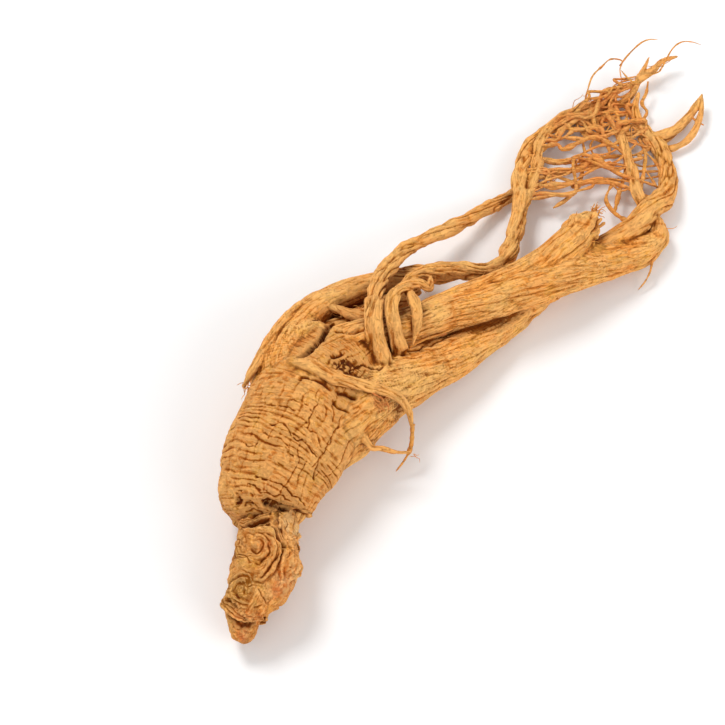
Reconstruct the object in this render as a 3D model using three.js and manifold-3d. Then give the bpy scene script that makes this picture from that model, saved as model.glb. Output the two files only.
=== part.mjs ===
// A whole dried ginseng-type root, lying as it was laid down to dry: a knobbly rhizome neck with old stem
// scars, a stout ringed body, three long legs that fork and cross, and stiff rootlets.
// It grew as one piece, so it is one closed solid. Millimetres, +Z up. The table is the plane Z = 0, and the
// origin is on it, under the middle of the root's bounding box. The neck points to -Y, the legs to +Y.
import * as THREE from "three";
import { mergeVertices } from "three/addons/utils/BufferGeometryUtils.js";
import Module from "manifold-3d";

const wasm = await Module();
wasm.setup();

// ---- Driving dimensions ----
const BODY_RADIUS = 11.8; // widest part of the body, below its shoulder
const NECK_RADIUS = 7.4; // size of the rhizome neck where its oldest scars swell it
const LEG_RADIUS = 4.7; // thickest part of the middle leg
const ROOTLET_RADIUS = 1.5; // stoutest free rootlet
const TABLE_BLOCK = { width: 200, depth: 200, height: 40 }; // what is cut away below the table's plane
const SKIN_COLOUR = 0xd3914e;

// A station is [x, y, z, radius as a share of the limb's own radius].
// Lobes are the long folds that drying leaves: how many, how deep, and how far they twist along the limb.
const LIMBS = {
  body: {
    radius: BODY_RADIUS,
    sides: 32,
    rings: 16,
    lobes: { count: 5, depth: 0.02, twist: 0.8, start: 0.4 },
    stations: [
      [-42.5, -46, 8.8, 0.52],
      [-42.2, -43, 9.4, 0.7],
      [-41, -39.5, 10.3, 0.84],
      [-39.4, -35, 11, 0.935],
      [-36.5, -29.5, 11.4, 1],
      [-34, -23.5, 11.5, 0.99],
      [-30.5, -18, 11.5, 0.91],
      [-26.5, -13.5, 11.2, 0.72],
      [-23, -10, 10.6, 0.49],
    ],
  },
  neck: {
    radius: NECK_RADIUS,
    sides: 24,
    rings: 16,
    lobes: { count: 4, depth: 0.06, twist: 2.4, start: 1.1 },
    stations: [
      [-42, -43, 8.8, 0.93],
      [-41.5, -46, 8.5, 0.79],
      [-41.8, -49.5, 8.3, 0.77],
      [-41.5, -53, 8.1, 0.85],
      [-41.9, -56, 7.9, 0.95],
      [-43, -59, 7.9, 0.9],
      [-44.3, -61.7, 7.4, 0.68],
      [-45.2, -63.7, 6.6, 0.54],
      [-45.4, -66, 5.6, 0.43],
      [-45.4, -68, 4.8, 0.34],
    ],
  },
  left_leg: {
    radius: LEG_RADIUS,
    sides: 10,
    rings: 54,
    lobes: { count: 3, depth: 0.07, twist: 5, start: 0.3 },
    stations: [
      [-34.5, -21.5, 12.4, 1.79],
      [-38, -16.5, 13.3, 1.43],
      [-37.5, -9.5, 12.2, 1.09],
      [-35, -3, 10.6, 0.87],
      [-31, 2, 9.3, 0.75],
      [-25.5, 6, 8, 0.66],
      [-19, 9, 7.1, 0.56],
      [-11.5, 11, 6.5, 0.47],
      [-3.5, 12.5, 6, 0.4],
      [3, 13, 5.7, 0.36],
      [7, 16.5, 5.5, 0.36],
      [9, 23.5, 5, 0.36],
      [10, 31, 4.3, 0.34],
      [10.5, 39.5, 3.4, 0.32],
      [13.5, 47.5, 2.1, 0.28],
      [20, 53, 1.2, 0.24],
      [27.5, 55.5, 1, 0.21],
      [34, 59, 1.4, 0.17],
      [37, 64, 3, 0.13],
      [39, 68, 4.4, 0.09],
    ],
  },
  middle_leg: {
    radius: LEG_RADIUS,
    sides: 14,
    rings: 34,
    lobes: { count: 4, depth: 0.06, twist: 2.2, start: 0.9 },
    stations: [
      [-31, -21, 12.4, 1.6],
      [-29, -14, 13.6, 1.24],
      [-25, -9.5, 13.5, 1],
      [-19.5, -6.5, 12.7, 0.87],
      [-13, -4, 11.9, 0.81],
      [-6.5, -0.5, 11.2, 0.85],
      [1.5, 3, 10.4, 0.92],
      [9, 7, 9.7, 1],
      [16.5, 10.5, 8.8, 1],
      [24, 13.5, 7.1, 0.87],
      [31, 16.8, 5, 0.75],
      [35.4, 19.3, 3.7, 0.66],
      [38.2, 22, 3.2, 0.5],
      [38.3, 25, 3.5, 0.34],
    ],
  },
  stub: {
    radius: LEG_RADIUS,
    sides: 12,
    rings: 12,
    lobes: { count: 3, depth: 0.06, twist: 1, start: 0 },
    stations: [
      [10, 7, 9.7, 0.75],
      [16, 12.5, 10.8, 0.85],
      [20.5, 17, 11.7, 0.79],
      [23.5, 21, 12.2, 0.56],
      [25, 24, 12, 0.28],
    ],
  },
  hook: {
    radius: LEG_RADIUS,
    sides: 10,
    rings: 30,
    lobes: { count: 3, depth: 0.07, twist: 3, start: 0.5 },
    stations: [
      [21, 12.5, 7.5, 0.64],
      [27, 18, 6.5, 0.58],
      [33, 23, 5.5, 0.55],
      [37.2, 28.7, 4.2, 0.53],
      [40.9, 33.5, 3, 0.47],
      [41.7, 40, 2.1, 0.41],
      [40.2, 45.7, 1.6, 0.36],
      [37.5, 50, 1.3, 0.3],
      [35.5, 55.5, 1.6, 0.23],
      [36.5, 60, 2.7, 0.15],
    ],
  },
  horn: {
    radius: LEG_RADIUS,
    sides: 8,
    rings: 9,
    lobes: { count: 2, depth: 0.1, twist: 1.5, start: 0 },
    stations: [
      [39, 48.5, 1.4, 0.28],
      [42.5, 50, 1.4, 0.28],
      [46.5, 53.5, 1.9, 0.24],
      [49, 57, 2.8, 0.19],
      [50, 59, 3.5, 0.11],
    ],
  },
  right_leg: {
    radius: LEG_RADIUS,
    sides: 14,
    rings: 32,
    lobes: { count: 4, depth: 0.05, twist: 2, start: 2 },
    stations: [
      [-29.5, -26, 10.6, 1.85],
      [-24, -21, 10.2, 1.69],
      [-18, -16.5, 9.3, 1.36],
      [-12, -12.5, 8, 1.13],
      [-5.5, -8.5, 6.5, 0.94],
      [1, -3.5, 5.1, 0.77],
      [7, 1.5, 3.7, 0.6],
      [12.5, 7, 2.5, 0.49],
      [18, 11.5, 1.8, 0.41],
      [24, 15, 1.4, 0.36],
      [30, 16, 1.2, 0.28],
      [35, 14, 1.1, 0.21],
      [37, 10.5, 1.1, 0.13],
    ],
  },
  web: {
    radius: LEG_RADIUS,
    sides: 10,
    rings: 9,
    lobes: { count: 3, depth: 0.1, twist: 2, start: 0 },
    stations: [
      [-35, -13, 9, 0.9],
      [-32.5, -8, 7.6, 0.8],
      [-29, -3, 6.6, 0.7],
      [-22.5, 1.5, 6.2, 0.55],
      [-15, 5, 6.4, 0.4],
    ],
  },
};

// Free rootlets: stations again, with the radius as a share of the stoutest rootlet's.
const ROOTLETS = {
  sash: [
    [-38.5, -15.5, 19, 0.77],
    [-33.5, -19, 23, 1],
    [-28, -22, 23, 1.06],
    [-22.5, -21.5, 19, 0.94],
    [-17, -22, 16.4, 0.71],
    [-14, -23, 12.4, 0.59],
    [-13, -26, 8.8, 0.41],
  ],
  strap: [
    [-19, -14, 13.7, 1.18],
    [-20.5, -9, 18.1, 1],
    [-20.5, -3, 18.1, 1],
    [-19, 6, 14.2, 0.94],
    [-15, 14, 10.6, 0.94],
    [-10, 19, 8, 0.88],
    [-3, 24.5, 5.3, 0.83],
    [4.5, 31, 2.5, 0.77],
    [11, 36, 1, 0.65],
    [17, 37.5, 0.9, 0.41],
  ],
  hooked: [
    [-15, -11, 11.9, 0.94],
    [-16.5, -8, 17.7, 0.77],
    [-17, -3, 19, 0.71],
    [-15.5, 1, 17.7, 0.65],
    [-12, 4, 15, 0.59],
    [-9.5, 4.5, 12.8, 0.53],
    [-9, 7.5, 12.4, 0.41],
  ],
  blade: [
    [-12.5, -8.5, 10.2, 0.71],
    [-12, -5.5, 16.2, 0.53],
    [-12, -1, 17.7, 0.35],
  ],
  whisker: [
    [-26.5, -27, 18, 0.65],
    [-24, -30, 15.9, 0.53],
    [-22, -31, 12.4, 0.47],
    [-19, -31, 10.2, 0.41],
    [-16, -31, 9.3, 0.35],
    [-13, -31, 8.8, 0.29],
  ],
  strip: [
    [-47, -20.5, 12.8, 0.59],
    [-44.5, -18, 17, 0.65],
    [-41.5, -12, 17.1, 0.65],
    [-38.5, -5.5, 15.7, 0.59],
    [-35, 1, 13.3, 0.47],
  ],
  twin: [
    [10, 28, 4.8, 0.77],
    [13.5, 38.5, 3.7, 0.71],
    [15, 47, 3, 0.65],
    [19.5, 53.5, 2.3, 0.53],
    [25.5, 57, 1.6, 0.47],
    [30.5, 58, 1.4, 0.29],
  ],
  inner: [
    [37.5, 26.5, 4.1, 0.83],
    [35, 32, 3.9, 0.71],
    [34, 38, 3.5, 0.65],
    [33, 44.5, 3, 0.59],
    [31.5, 51, 2.3, 0.47],
    [29, 53.5, 1.8, 0.29],
  ],
  spur: [
    [37, 63.5, 3, 0.53],
    [40, 65.5, 3.4, 0.41],
    [42, 67.5, 3.7, 0.35],
    [45.5, 68.5, 4.1, 0.24],
  ],
  thin_horn: [
    [39.5, 45.5, 1.6, 0.47],
    [44, 46.5, 1.6, 0.41],
    [47.5, 49.5, 2.1, 0.41],
    [49.5, 54.5, 3, 0.35],
    [50, 58, 3.5, 0.29],
  ],
  twig: [
    [-30.5, 1.5, 11.1, 0.88],
    [-27.5, 0.5, 11.9, 0.88],
    [-25, -1.5, 12.4, 0.83],
    [-22.5, -2, 12.8, 0.71],
    [-20, -1, 13.7, 0.53],
  ],
  wedge: [
    [-31, -6, 10.6, 1.42],
    [-26.5, -3, 10.2, 1.3],
    [-21.5, -0.5, 9.7, 1.18],
    [-17, 3, 9.3, 0.94],
    [-12, 6, 8.8, 0.65],
  ],
};
const ROOTLET_LOBES = { count: 2, depth: 0.14, twist: 2, start: 0 };
const ROOTLET_SIDES = 6;
const ROOTLET_STEP = 2.6; // length of rootlet between two rings

// Old stem scars on the neck: round dishes with a raised rim, each facing its own way.
const SCARS = [
  { at: [-42.8, -54.2, 14.2], facing: [-0.1, -0.5, 0.86], radius: 4.3, height: 2.4 },
  { at: [-46.5, -61.2, 9.4], facing: [-0.62, -0.5, 0.6], radius: 3.6, height: 2.2 },
  { at: [-39.2, -58.8, 9.6], facing: [0.75, -0.3, 0.6], radius: 3.2, height: 1.8 },
  { at: [-41.5, -54.5, 2], facing: [0.25, -0.2, -0.95], radius: 3.8, height: 1.4 },
  { at: [-45.5, -67.4, 5.4], facing: [0, -0.95, 0.3], radius: 3, height: 2.2 },
];

// Old scale leaves, shrivelled to thick flaps: where each stands, its half sizes and its turns about X, Y, Z.
const FLAPS = {
  upper_collar: { at: [-43.9, -47.4, 13.2], half: [4.4, 1, 2], turn: [0.5, 0.1, 0.12] },
  lower_collar: { at: [-43.3, -49.6, 14], half: [4, 0.9, 1.8], turn: [0.9, -0.1, -0.06] },
  pale_bract: { at: [-37.1, -49.4, 11], half: [1.6, 3, 2.6], turn: [0.2, 0.35, 0.4] },
  side_fold: { at: [-37.3, -54, 9.8], half: [1.4, 4, 2.6], turn: [0, 0.3, -0.15] },
  side_nub: { at: [-35.9, -56.6, 8.6], half: [1.4, 1.9, 1.7], turn: [0, 0, 0] },
  left_fold: { at: [-47.9, -54.2, 8.4], half: [1.2, 3.4, 2.4], turn: [0, -0.3, 0.1] },
  frill: { at: [-45.1, -64.6, 8.8], half: [4.2, 1, 2.3], turn: [0.9, 0.15, 0.05] },
};

// The smooth line through the stations, and the radius along it.
function lineOf(stations, radius) {
  const centres = new THREE.CatmullRomCurve3(
    stations.map(([x, y, z]) => new THREE.Vector3(x, y, z)),
    false,
    "catmullrom",
    0.5,
  );
  const sizes = new THREE.CatmullRomCurve3(
    stations.map(([, , , share]) => new THREE.Vector3(share * radius, 0, 0)),
    false,
    "catmullrom",
    0.5,
  );
  return {
    centre: (t) => centres.getPoint(t),
    tangent: (t) => centres.getTangent(t),
    radius: (t) => Math.max(sizes.getPoint(t).x, 0.2),
    length: centres.getLength(),
  };
}

// A tube along the line, closed to a point at both ends: a unit sphere's rows become the tube's rings.
// Angle 0 is the top of the limb, and the long folds swell and narrow the ring around it.
function limb(stations, radius, sides, rings, lobes) {
  const line = lineOf(stations, radius);
  const geometry = new THREE.SphereGeometry(1, sides, rings);
  const position = geometry.getAttribute("position");
  const uv = geometry.getAttribute("uv");
  const up = new THREE.Vector3(0, 0, 1);
  for (let i = 0; i < position.count; i++) {
    const t = 1 - uv.getY(i);
    const row = Math.round(t * rings);
    const column = i - row * (sides + 1);
    const angle = (2 * Math.PI * (column % sides)) / sides;
    const along = line.tangent(t);
    const side = new THREE.Vector3().crossVectors(up, along).normalize();
    const over = new THREE.Vector3().crossVectors(along, side);
    const isPole = row === 0 || row === rings;
    const fold = 1 + lobes.depth * Math.cos(lobes.count * angle + lobes.start + lobes.twist * t);
    const reach = isPole ? 0 : line.radius(t) * fold;
    const point = line
      .centre(t)
      .addScaledVector(over, reach * Math.cos(angle))
      .addScaledVector(side, reach * Math.sin(angle));
    position.setXYZ(i, point.x, point.y, point.z);
  }
  return geometry;
}

function rootlet(stations) {
  const rings = Math.max(4, Math.round(lineOf(stations, ROOTLET_RADIUS).length / ROOTLET_STEP));
  return limb(stations, ROOTLET_RADIUS, ROOTLET_SIDES, rings, ROOTLET_LOBES);
}

// A stem scar is turned about its own axis: a short stalk with a rolled rim and a shallow dish in its end.
function scar({ at, facing, radius, height }) {
  const profile = [
    [0, -height],
    [0.8 * radius, -height],
    [radius, 0],
    [0.86 * radius, 0.18 * height],
    [0.4 * radius, -0.12 * height],
    [0, 0.06 * height],
  ].map(([x, y]) => new THREE.Vector2(x, y));
  const geometry = new THREE.LatheGeometry(profile, 12);
  const turn = new THREE.Quaternion().setFromUnitVectors(
    new THREE.Vector3(0, 1, 0),
    new THREE.Vector3(...facing).normalize(),
  );
  return geometry.applyQuaternion(turn).translate(...at);
}

// A scale leaf's flap is a flattened ball.
function flap({ at, half, turn }) {
  const geometry = new THREE.SphereGeometry(1, 10, 6);
  return geometry
    .scale(...half)
    .applyQuaternion(new THREE.Quaternion().setFromEuler(new THREE.Euler(...turn)))
    .translate(...at);
}

// A closed geometry as a solid that can be joined and cut.
function solid(geometry) {
  geometry.deleteAttribute("normal");
  geometry.deleteAttribute("uv");
  const merged = mergeVertices(geometry, 1e-4);
  return new wasm.Manifold(
    new wasm.Mesh({
      numProp: 3,
      vertProperties: merged.getAttribute("position").array,
      triVerts: new Uint32Array(merged.index.array),
    }),
  );
}

function rootSolid() {
  const pieces = [
    ...Object.values(LIMBS).map((l) => limb(l.stations, l.radius, l.sides, l.rings, l.lobes)),
    ...Object.values(ROOTLETS).map(rootlet),
    ...SCARS.map(scar),
    ...Object.values(FLAPS).map(flap),
  ];
  const joined = pieces.map(solid).reduce((whole, piece) => whole.add(piece));
  const { width, depth, height } = TABLE_BLOCK;
  const table = new THREE.BoxGeometry(width, depth, height).translate(0, 0, -height / 2);
  return joined.subtract(solid(table));
}

// The solid's mesh as a geometry to draw.
function geometryOf(made) {
  const mesh = made.getMesh();
  const points = new Float32Array(mesh.numVert * 3);
  for (let i = 0; i < mesh.numVert; i++) {
    points.set(mesh.vertProperties.subarray(i * mesh.numProp, i * mesh.numProp + 3), i * 3);
  }
  const geometry = new THREE.BufferGeometry();
  geometry.setAttribute("position", new THREE.BufferAttribute(points, 3));
  geometry.setIndex(new THREE.BufferAttribute(new Uint32Array(mesh.triVerts), 1));
  geometry.computeVertexNormals();
  return geometry;
}

const skin = new THREE.MeshStandardMaterial({ color: SKIN_COLOUR, roughness: 0.8, metalness: 0 });
const root = new THREE.Mesh(geometryOf(rootSolid()), skin);
root.name = "dried_root";

const model = new THREE.Group();
model.add(root);

export default model;
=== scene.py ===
from functools import partial

import bmesh
import bpy
import numpy as np
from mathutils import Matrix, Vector


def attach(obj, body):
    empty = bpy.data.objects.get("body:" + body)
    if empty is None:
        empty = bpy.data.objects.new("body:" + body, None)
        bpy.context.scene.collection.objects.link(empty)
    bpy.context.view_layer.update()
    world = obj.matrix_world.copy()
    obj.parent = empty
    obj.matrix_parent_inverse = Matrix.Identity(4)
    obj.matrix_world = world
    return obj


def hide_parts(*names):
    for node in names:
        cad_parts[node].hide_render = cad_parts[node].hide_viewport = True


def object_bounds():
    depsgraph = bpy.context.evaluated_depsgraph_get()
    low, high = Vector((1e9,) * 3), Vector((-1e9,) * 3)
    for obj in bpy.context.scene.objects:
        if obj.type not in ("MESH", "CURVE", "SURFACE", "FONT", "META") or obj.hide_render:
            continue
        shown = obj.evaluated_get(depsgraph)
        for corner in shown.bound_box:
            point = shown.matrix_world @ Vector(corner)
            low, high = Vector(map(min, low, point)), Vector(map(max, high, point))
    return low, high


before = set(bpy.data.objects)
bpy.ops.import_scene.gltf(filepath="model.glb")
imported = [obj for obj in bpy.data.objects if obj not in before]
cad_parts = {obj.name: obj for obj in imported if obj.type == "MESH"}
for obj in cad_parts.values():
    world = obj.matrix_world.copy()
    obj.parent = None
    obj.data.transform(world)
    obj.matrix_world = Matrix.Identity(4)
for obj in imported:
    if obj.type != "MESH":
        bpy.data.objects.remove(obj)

CAD_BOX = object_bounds()

# The dried root's looks, in three pieces: the skin of its body, legs and rootlets, which stands for the
# solid, the crown, which is the scarred neck, and the hair-thin rootlets. All shapes are worked out in
# millimetres and are made metres when a finished piece is written.
MM = 0.001
NODE = "dried_root"
BODY = "root"

# ---- Driving dimensions, in millimetres ----
BODY_RADIUS = 11.8
NECK_RADIUS = 7.4
LEG_RADIUS = 4.7
ROOTLET_RADIUS = 1.5
NECK_REACH = 6.3  # mean radii on which marks are unrolled: the neck's folds,
BODY_REACH = 10.5  # the body's cracks,
SHOULDER_REACH = 9.5  # and the crescent of painted shade at the body's end
RING_STEP = 1.02  # between the body's rings
FINE_RING_STEP = 0.6
CRACKS_ROUND = 32  # cracks round the body
TICKS_ROUND = 88  # short cracks round its shoulder
LAYER_STEP = 0.68  # between the layers round the neck's rosettes
SHELTER = 3.0  # room to other limbs beyond which the skin lies open and takes no painted shade
BLEND = 0.45  # height over which one limb's relief gives way to the next one's
LEAST_FILLET = 0.18
PATH_STEP = 31  # sets the patterns along one limb apart from the next one's
MARGIN = 3.5  # how far beyond its thickest skin a limb is felt
OUT_OF_REACH = 9.0  # the height given for places beyond that
LOWEST_HAIR, HIGHEST_HAIR = 0.15, 25.4  # over the table

# ---- How fine the meshes are, and the seeds ----
VOXEL = 0.2  # grids on which the limbs are fused
CROWN_VOXEL = 0.14
SKIN_TRIANGLES = 190_000
CROWN_TRIANGLES = 150_000
PER_SPAN = 12  # samples between two stations of a limb
SIDES = {"body": 40, "neck": 48, "leg": 20, "rootlet": 20}  # of the rings round a limb
CAP_RINGS = 6
SCAR_SIDES = 28
SKIRT_COLUMNS, SKIRT_ROWS = 72, 14
CHUNK = 20_000  # places measured at a time
FINE_HAIRS = 46
HAIR_SEED = 11
STRAND_SEED = 5

# ---- Limbs, close to the solid's: radius, kind, lobes (how many, how deep, twist along the limb, start), the
# length over which the first and the last end narrow, and stations [x, y, z, share of the radius] ----
LIMBS = {
    "body": (BODY_RADIUS, "body", (5, 0.02, 0.8, 0.4), (0, 0), [
        [-42.2, -46, 8.4, 0.34], [-42.2, -43, 9.4, 0.73], [-41, -39.5, 10.3, 0.84], [-39.4, -35, 11, 0.935],
        [-36.5, -29.5, 11.4, 1], [-34, -23.5, 11.5, 0.99], [-30.5, -18, 11.5, 0.91],
        [-26.5, -13.5, 11.2, 0.72], [-23, -10, 10.6, 0.49],
    ]),
    "neck": (NECK_RADIUS, "neck", (4, 0.06, 2.4, 1.1), (0, 0), [
        [-41.6, -43, 8.8, 0.93], [-41.1, -46, 8.7, 0.79], [-41.3, -49.5, 8.4, 0.76], [-41.3, -53, 8.1, 0.84],
        [-41.4, -56, 7.9, 0.9], [-42.3, -59, 7.9, 0.83], [-44, -61.7, 7.4, 0.66], [-45.1, -63.7, 6.6, 0.55],
        [-45.4, -66, 5.6, 0.43], [-45.4, -68, 4.8, 0.34],
    ]),
    "left_leg": (LEG_RADIUS, "leg", (3, 0.07, 5, 0.3), (0, 5), [
        [-34.5, -21.5, 12.4, 1.79], [-38, -16.5, 13.3, 1.43], [-37.5, -9.5, 12.2, 1.09],
        [-35, -3, 10.6, 0.87], [-31, 2, 9.3, 0.75], [-25.5, 6, 8, 0.66], [-19, 9, 7.1, 0.56],
        [-11.5, 11, 6.5, 0.47], [-3.5, 12.5, 6, 0.4], [3, 13, 5.7, 0.36], [7, 16.5, 5.5, 0.36],
        [9, 23.5, 5, 0.36], [10, 31, 4.3, 0.34], [10.5, 39.5, 3.4, 0.32], [13.5, 47.5, 2.1, 0.28],
        [20, 53, 1.2, 0.24], [27.5, 55.5, 1, 0.21], [34, 59, 1.4, 0.17], [37, 64, 3, 0.13],
        [39, 68, 4.4, 0.09],
    ]),
    "middle_leg": (LEG_RADIUS, "leg", (4, 0.06, 2.2, 0.9), (0, 0), [
        [-31, -21, 12.4, 1.6], [-29, -14, 13.6, 1.24], [-25, -9.5, 13.5, 1], [-19.5, -6.5, 12.7, 0.87],
        [-13, -4, 11.9, 0.81], [-6.5, -0.5, 11.2, 0.85], [1.5, 3, 10.4, 0.92], [9, 7, 9.7, 1],
        [16.5, 10.5, 8.8, 1], [24, 13.5, 7.1, 0.87], [31, 16.8, 5, 0.75], [35.4, 19.3, 3.7, 0.66],
        [38.2, 22, 3.2, 0.5], [38.3, 25, 3.5, 0.34],
    ]),
    "stub": (LEG_RADIUS, "leg", (3, 0.06, 1, 0), (0, 0), [
        [10, 7, 9.7, 0.75], [16, 12.5, 10.8, 0.86], [20, 16.4, 11.3, 0.82], [22.2, 19.2, 11.4, 0.68],
        [23.2, 20.8, 11.3, 0.5],
    ]),
    "hook": (LEG_RADIUS, "leg", (3, 0.07, 3, 0.5), (0, 6), [
        [21, 12.5, 7.5, 0.64], [27, 18, 6.5, 0.58], [33, 23, 5.5, 0.55], [37.2, 28.7, 4.2, 0.53],
        [40.9, 33.5, 3, 0.47], [41.7, 40, 2.1, 0.41], [40.2, 45.7, 1.6, 0.36], [37.5, 50, 1.3, 0.3],
        [35.5, 55.5, 1.6, 0.23], [36.5, 60, 2.7, 0.15],
    ]),
    "horn": (LEG_RADIUS, "leg", (2, 0.1, 1.5, 0), (0, 4), [
        [39, 48.5, 1.4, 0.28], [42.5, 50, 1.4, 0.28], [46.5, 53.5, 1.9, 0.24], [49, 57, 2.8, 0.19],
        [50, 59, 3.5, 0.11],
    ]),
    "right_leg": (LEG_RADIUS, "leg", (4, 0.05, 2, 2), (0, 5), [
        [-29.5, -26, 10.6, 1.85], [-24, -21, 10.2, 1.69], [-18, -16.5, 9.3, 1.36], [-12, -12.5, 8, 1.13],
        [-5.5, -8.5, 6.5, 0.94], [1, -3.5, 5.1, 0.77], [7, 1.5, 3.7, 0.6], [12.5, 7, 2.5, 0.49],
        [18, 11.5, 1.8, 0.41], [24, 15, 1.4, 0.34], [29, 16.6, 1.3, 0.2], [32.5, 17, 1.2, 0.1],
    ]),
    "hip": (LEG_RADIUS, "leg", (3, 0.04, 1, 0), (0, 0), [  # the body's end beside the neck, on the right
        [-35.8, -42, 10, 0.55], [-35.8, -44.4, 9.2, 0.38], [-36.1, -46.2, 8.4, 0.22],
    ]),
    "web": (LEG_RADIUS, "leg", (3, 0.1, 2, 0), (0, 0), [  # shrivelled flesh low in the fork, beside the body
        [-35, -13, 9, 0.9], [-32.5, -8, 7.6, 0.8], [-29, -3, 6.6, 0.7], [-22.5, 1.5, 6.2, 0.55],
        [-15, 5, 6.4, 0.4],
    ]),
}
# Free rootlets: how far the ends narrow, and stations.
ROOTLETS = {
    "sash": ((0, 5), [
        [-38.5, -15.5, 18.1, 0.6], [-33.5, -19, 22.75, 0.82], [-28, -22, 22.7, 0.76],
        [-22.5, -21.8, 19.2, 0.62], [-17, -22, 16.4, 0.52], [-14, -23, 12.4, 0.46], [-13, -26, 8.8, 0.38],
    ]),
    "strap": ((0, 6), [
        [-19, -14, 13.7, 1.18], [-20.5, -9, 18.1, 1], [-20.5, -3, 18.1, 1], [-19, 6, 14.2, 0.94],
        [-15, 14, 10.6, 0.94], [-10, 19, 8, 0.88], [-3, 24.5, 5.3, 0.83], [4.5, 31, 2.5, 0.77],
        [11, 36, 1, 0.65], [17, 37.5, 0.9, 0.41],
    ]),
    "hooked": ((0, 3), [
        [-15, -11, 11.9, 0.94], [-16.5, -8, 17.7, 0.77], [-17, -3, 19, 0.71], [-15.5, 1, 17.7, 0.65],
        [-12, 4, 15, 0.59], [-9.5, 4.5, 12.8, 0.53], [-9, 7.5, 12.4, 0.41],
    ]),
    "blade": ((0, 4), [
        [-13.6, 1.4, 16, 0.5], [-12.7, -1.3, 17.3, 0.64], [-12, -4, 16.9, 0.62], [-12.1, -6.6, 15.7, 0.5],
        [-12.9, -9.6, 13.7, 0.3],
    ]),
    "riser": ((0, 4), [
        [-18.7, -3.7, 14.4, 0.5], [-17.9, -1.2, 14.8, 0.6], [-16.1, 2.2, 14, 0.66], [-13.8, 5.9, 12.2, 0.68],
        [-11.6, 9.3, 10, 0.72], [-9.1, 10.9, 8.7, 0.8], [-5.6, 12, 7.8, 0.8], [-1, 12.6, 7, 0.6],
    ]),
    "whisker": ((0, 6), [
        [-26.3, -26.6, 18.4, 0.55], [-24.6, -28.6, 16.4, 0.46], [-22.8, -29.6, 13.6, 0.42],
        [-21.2, -31.2, 11.6, 0.38], [-19.3, -30.9, 10.6, 0.33], [-16.4, -31.2, 9.6, 0.3],
        [-13, -30.9, 8.8, 0.26],
    ]),
    "strip": ((6, 5), [
        [-46.2, -19.4, 14.2, 0.45], [-44.5, -17.4, 16.8, 0.6], [-41.5, -12, 17.1, 0.65],
        [-38.5, -5.5, 15.7, 0.59], [-35, 1, 13.3, 0.47],
    ]),
    "twin": ((0, 4), [
        [10, 28, 4.8, 0.77], [13.5, 38.5, 3.7, 0.71], [15, 47, 3, 0.65], [19.5, 53.5, 2.3, 0.53],
        [25.5, 57, 1.6, 0.47], [30.5, 58, 1.4, 0.29],
    ]),
    "inner": ((0, 5), [
        [37.5, 26.5, 4.1, 0.83], [35, 32, 3.9, 0.71], [34, 38, 3.5, 0.65], [33, 44.5, 3, 0.59],
        [31.5, 51, 2.3, 0.47], [29, 53.5, 1.8, 0.29],
    ]),
    "spur": ((0, 4), [
        [37, 63.5, 3, 0.53], [40, 65.5, 3.4, 0.41], [42, 67.5, 3.7, 0.35], [45.5, 68.5, 4.1, 0.24],
    ]),
    "thin_horn": ((0, 4), [
        [39.5, 45.5, 1.6, 0.47], [44, 46.5, 1.6, 0.41], [47.5, 49.5, 2.1, 0.41], [49.5, 54.5, 3, 0.35],
        [50, 58, 3.5, 0.29],
    ]),
    "twig": ((3, 0), [
        [-31, 1.3, 12, 0.3], [-29, 0.4, 12, 0.42], [-27, -0.6, 12.2, 0.55], [-25, -1.5, 12.4, 0.7],
        [-22.5, -2, 12.8, 0.75], [-20, -1, 13.7, 0.53],
    ]),
    "wedge": ((0, 0), [
        [-31, -6, 10.6, 1.42], [-26.5, -3, 10.2, 1.3], [-21.5, -0.5, 9.7, 1.18], [-17, 3, 9.3, 0.94],
        [-12, 6, 8.8, 0.65],
    ]),
}
for name, (tips, stations) in ROOTLETS.items():
    LIMBS[name] = (ROOTLET_RADIUS, "rootlet", (2, 0.2, 1.6, 2.6), tips, stations)

# Where limbs grow out of each other, the skin runs from one to the other in a fillet: centre, reach, size.
JOINTS = [
    ((-34, -21, 13), 8, 1.4), ((-32.6, -6.4, 13.8), 4.2, 2.4), ((-24, -24, 11), 7, 1.2),
    ((-41.5, -44, 9), 5, 0.5), ((12, 8, 9), 8, 0.8), ((23, 13, 7), 7, 0.6),
]

# Old stem scars on the neck: centre, facing, radius, height of the stalk below the rim, and how hollow its
# end is, from a low dome (0) to a cup (1).
SCARS = [
    ((-42.8, -54.2, 14), (-0.1, -0.5, 0.86), 4.4, 2.4, 0),
    ((-44.9, -60.6, 10), (-0.5, -0.5, 0.7), 3, 2.2, 0.1),
    ((-39.4, -58.8, 9.3), (0.75, -0.3, 0.6), 3.4, 1.8, 0),
    ((-41.5, -54.5, 2), (0.25, -0.2, -0.95), 3.8, 1.4, 0.6),
    ((-45.5, -67, 4.4), (0.05, -0.97, 0.2), 2.9, 2.4, 1),
]

# One on the body, likewise.
BODY_SCAR = ((-23.1, -11.9, 17.6), (0, -0.35, 0.94), 1.3, 2.2, 1)
# Where a stem broke off the body: centre and reach along each axis.
CRUST = ((-25.4, -18.2, 20.2), (3.9, 2.3, 3.6))

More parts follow.
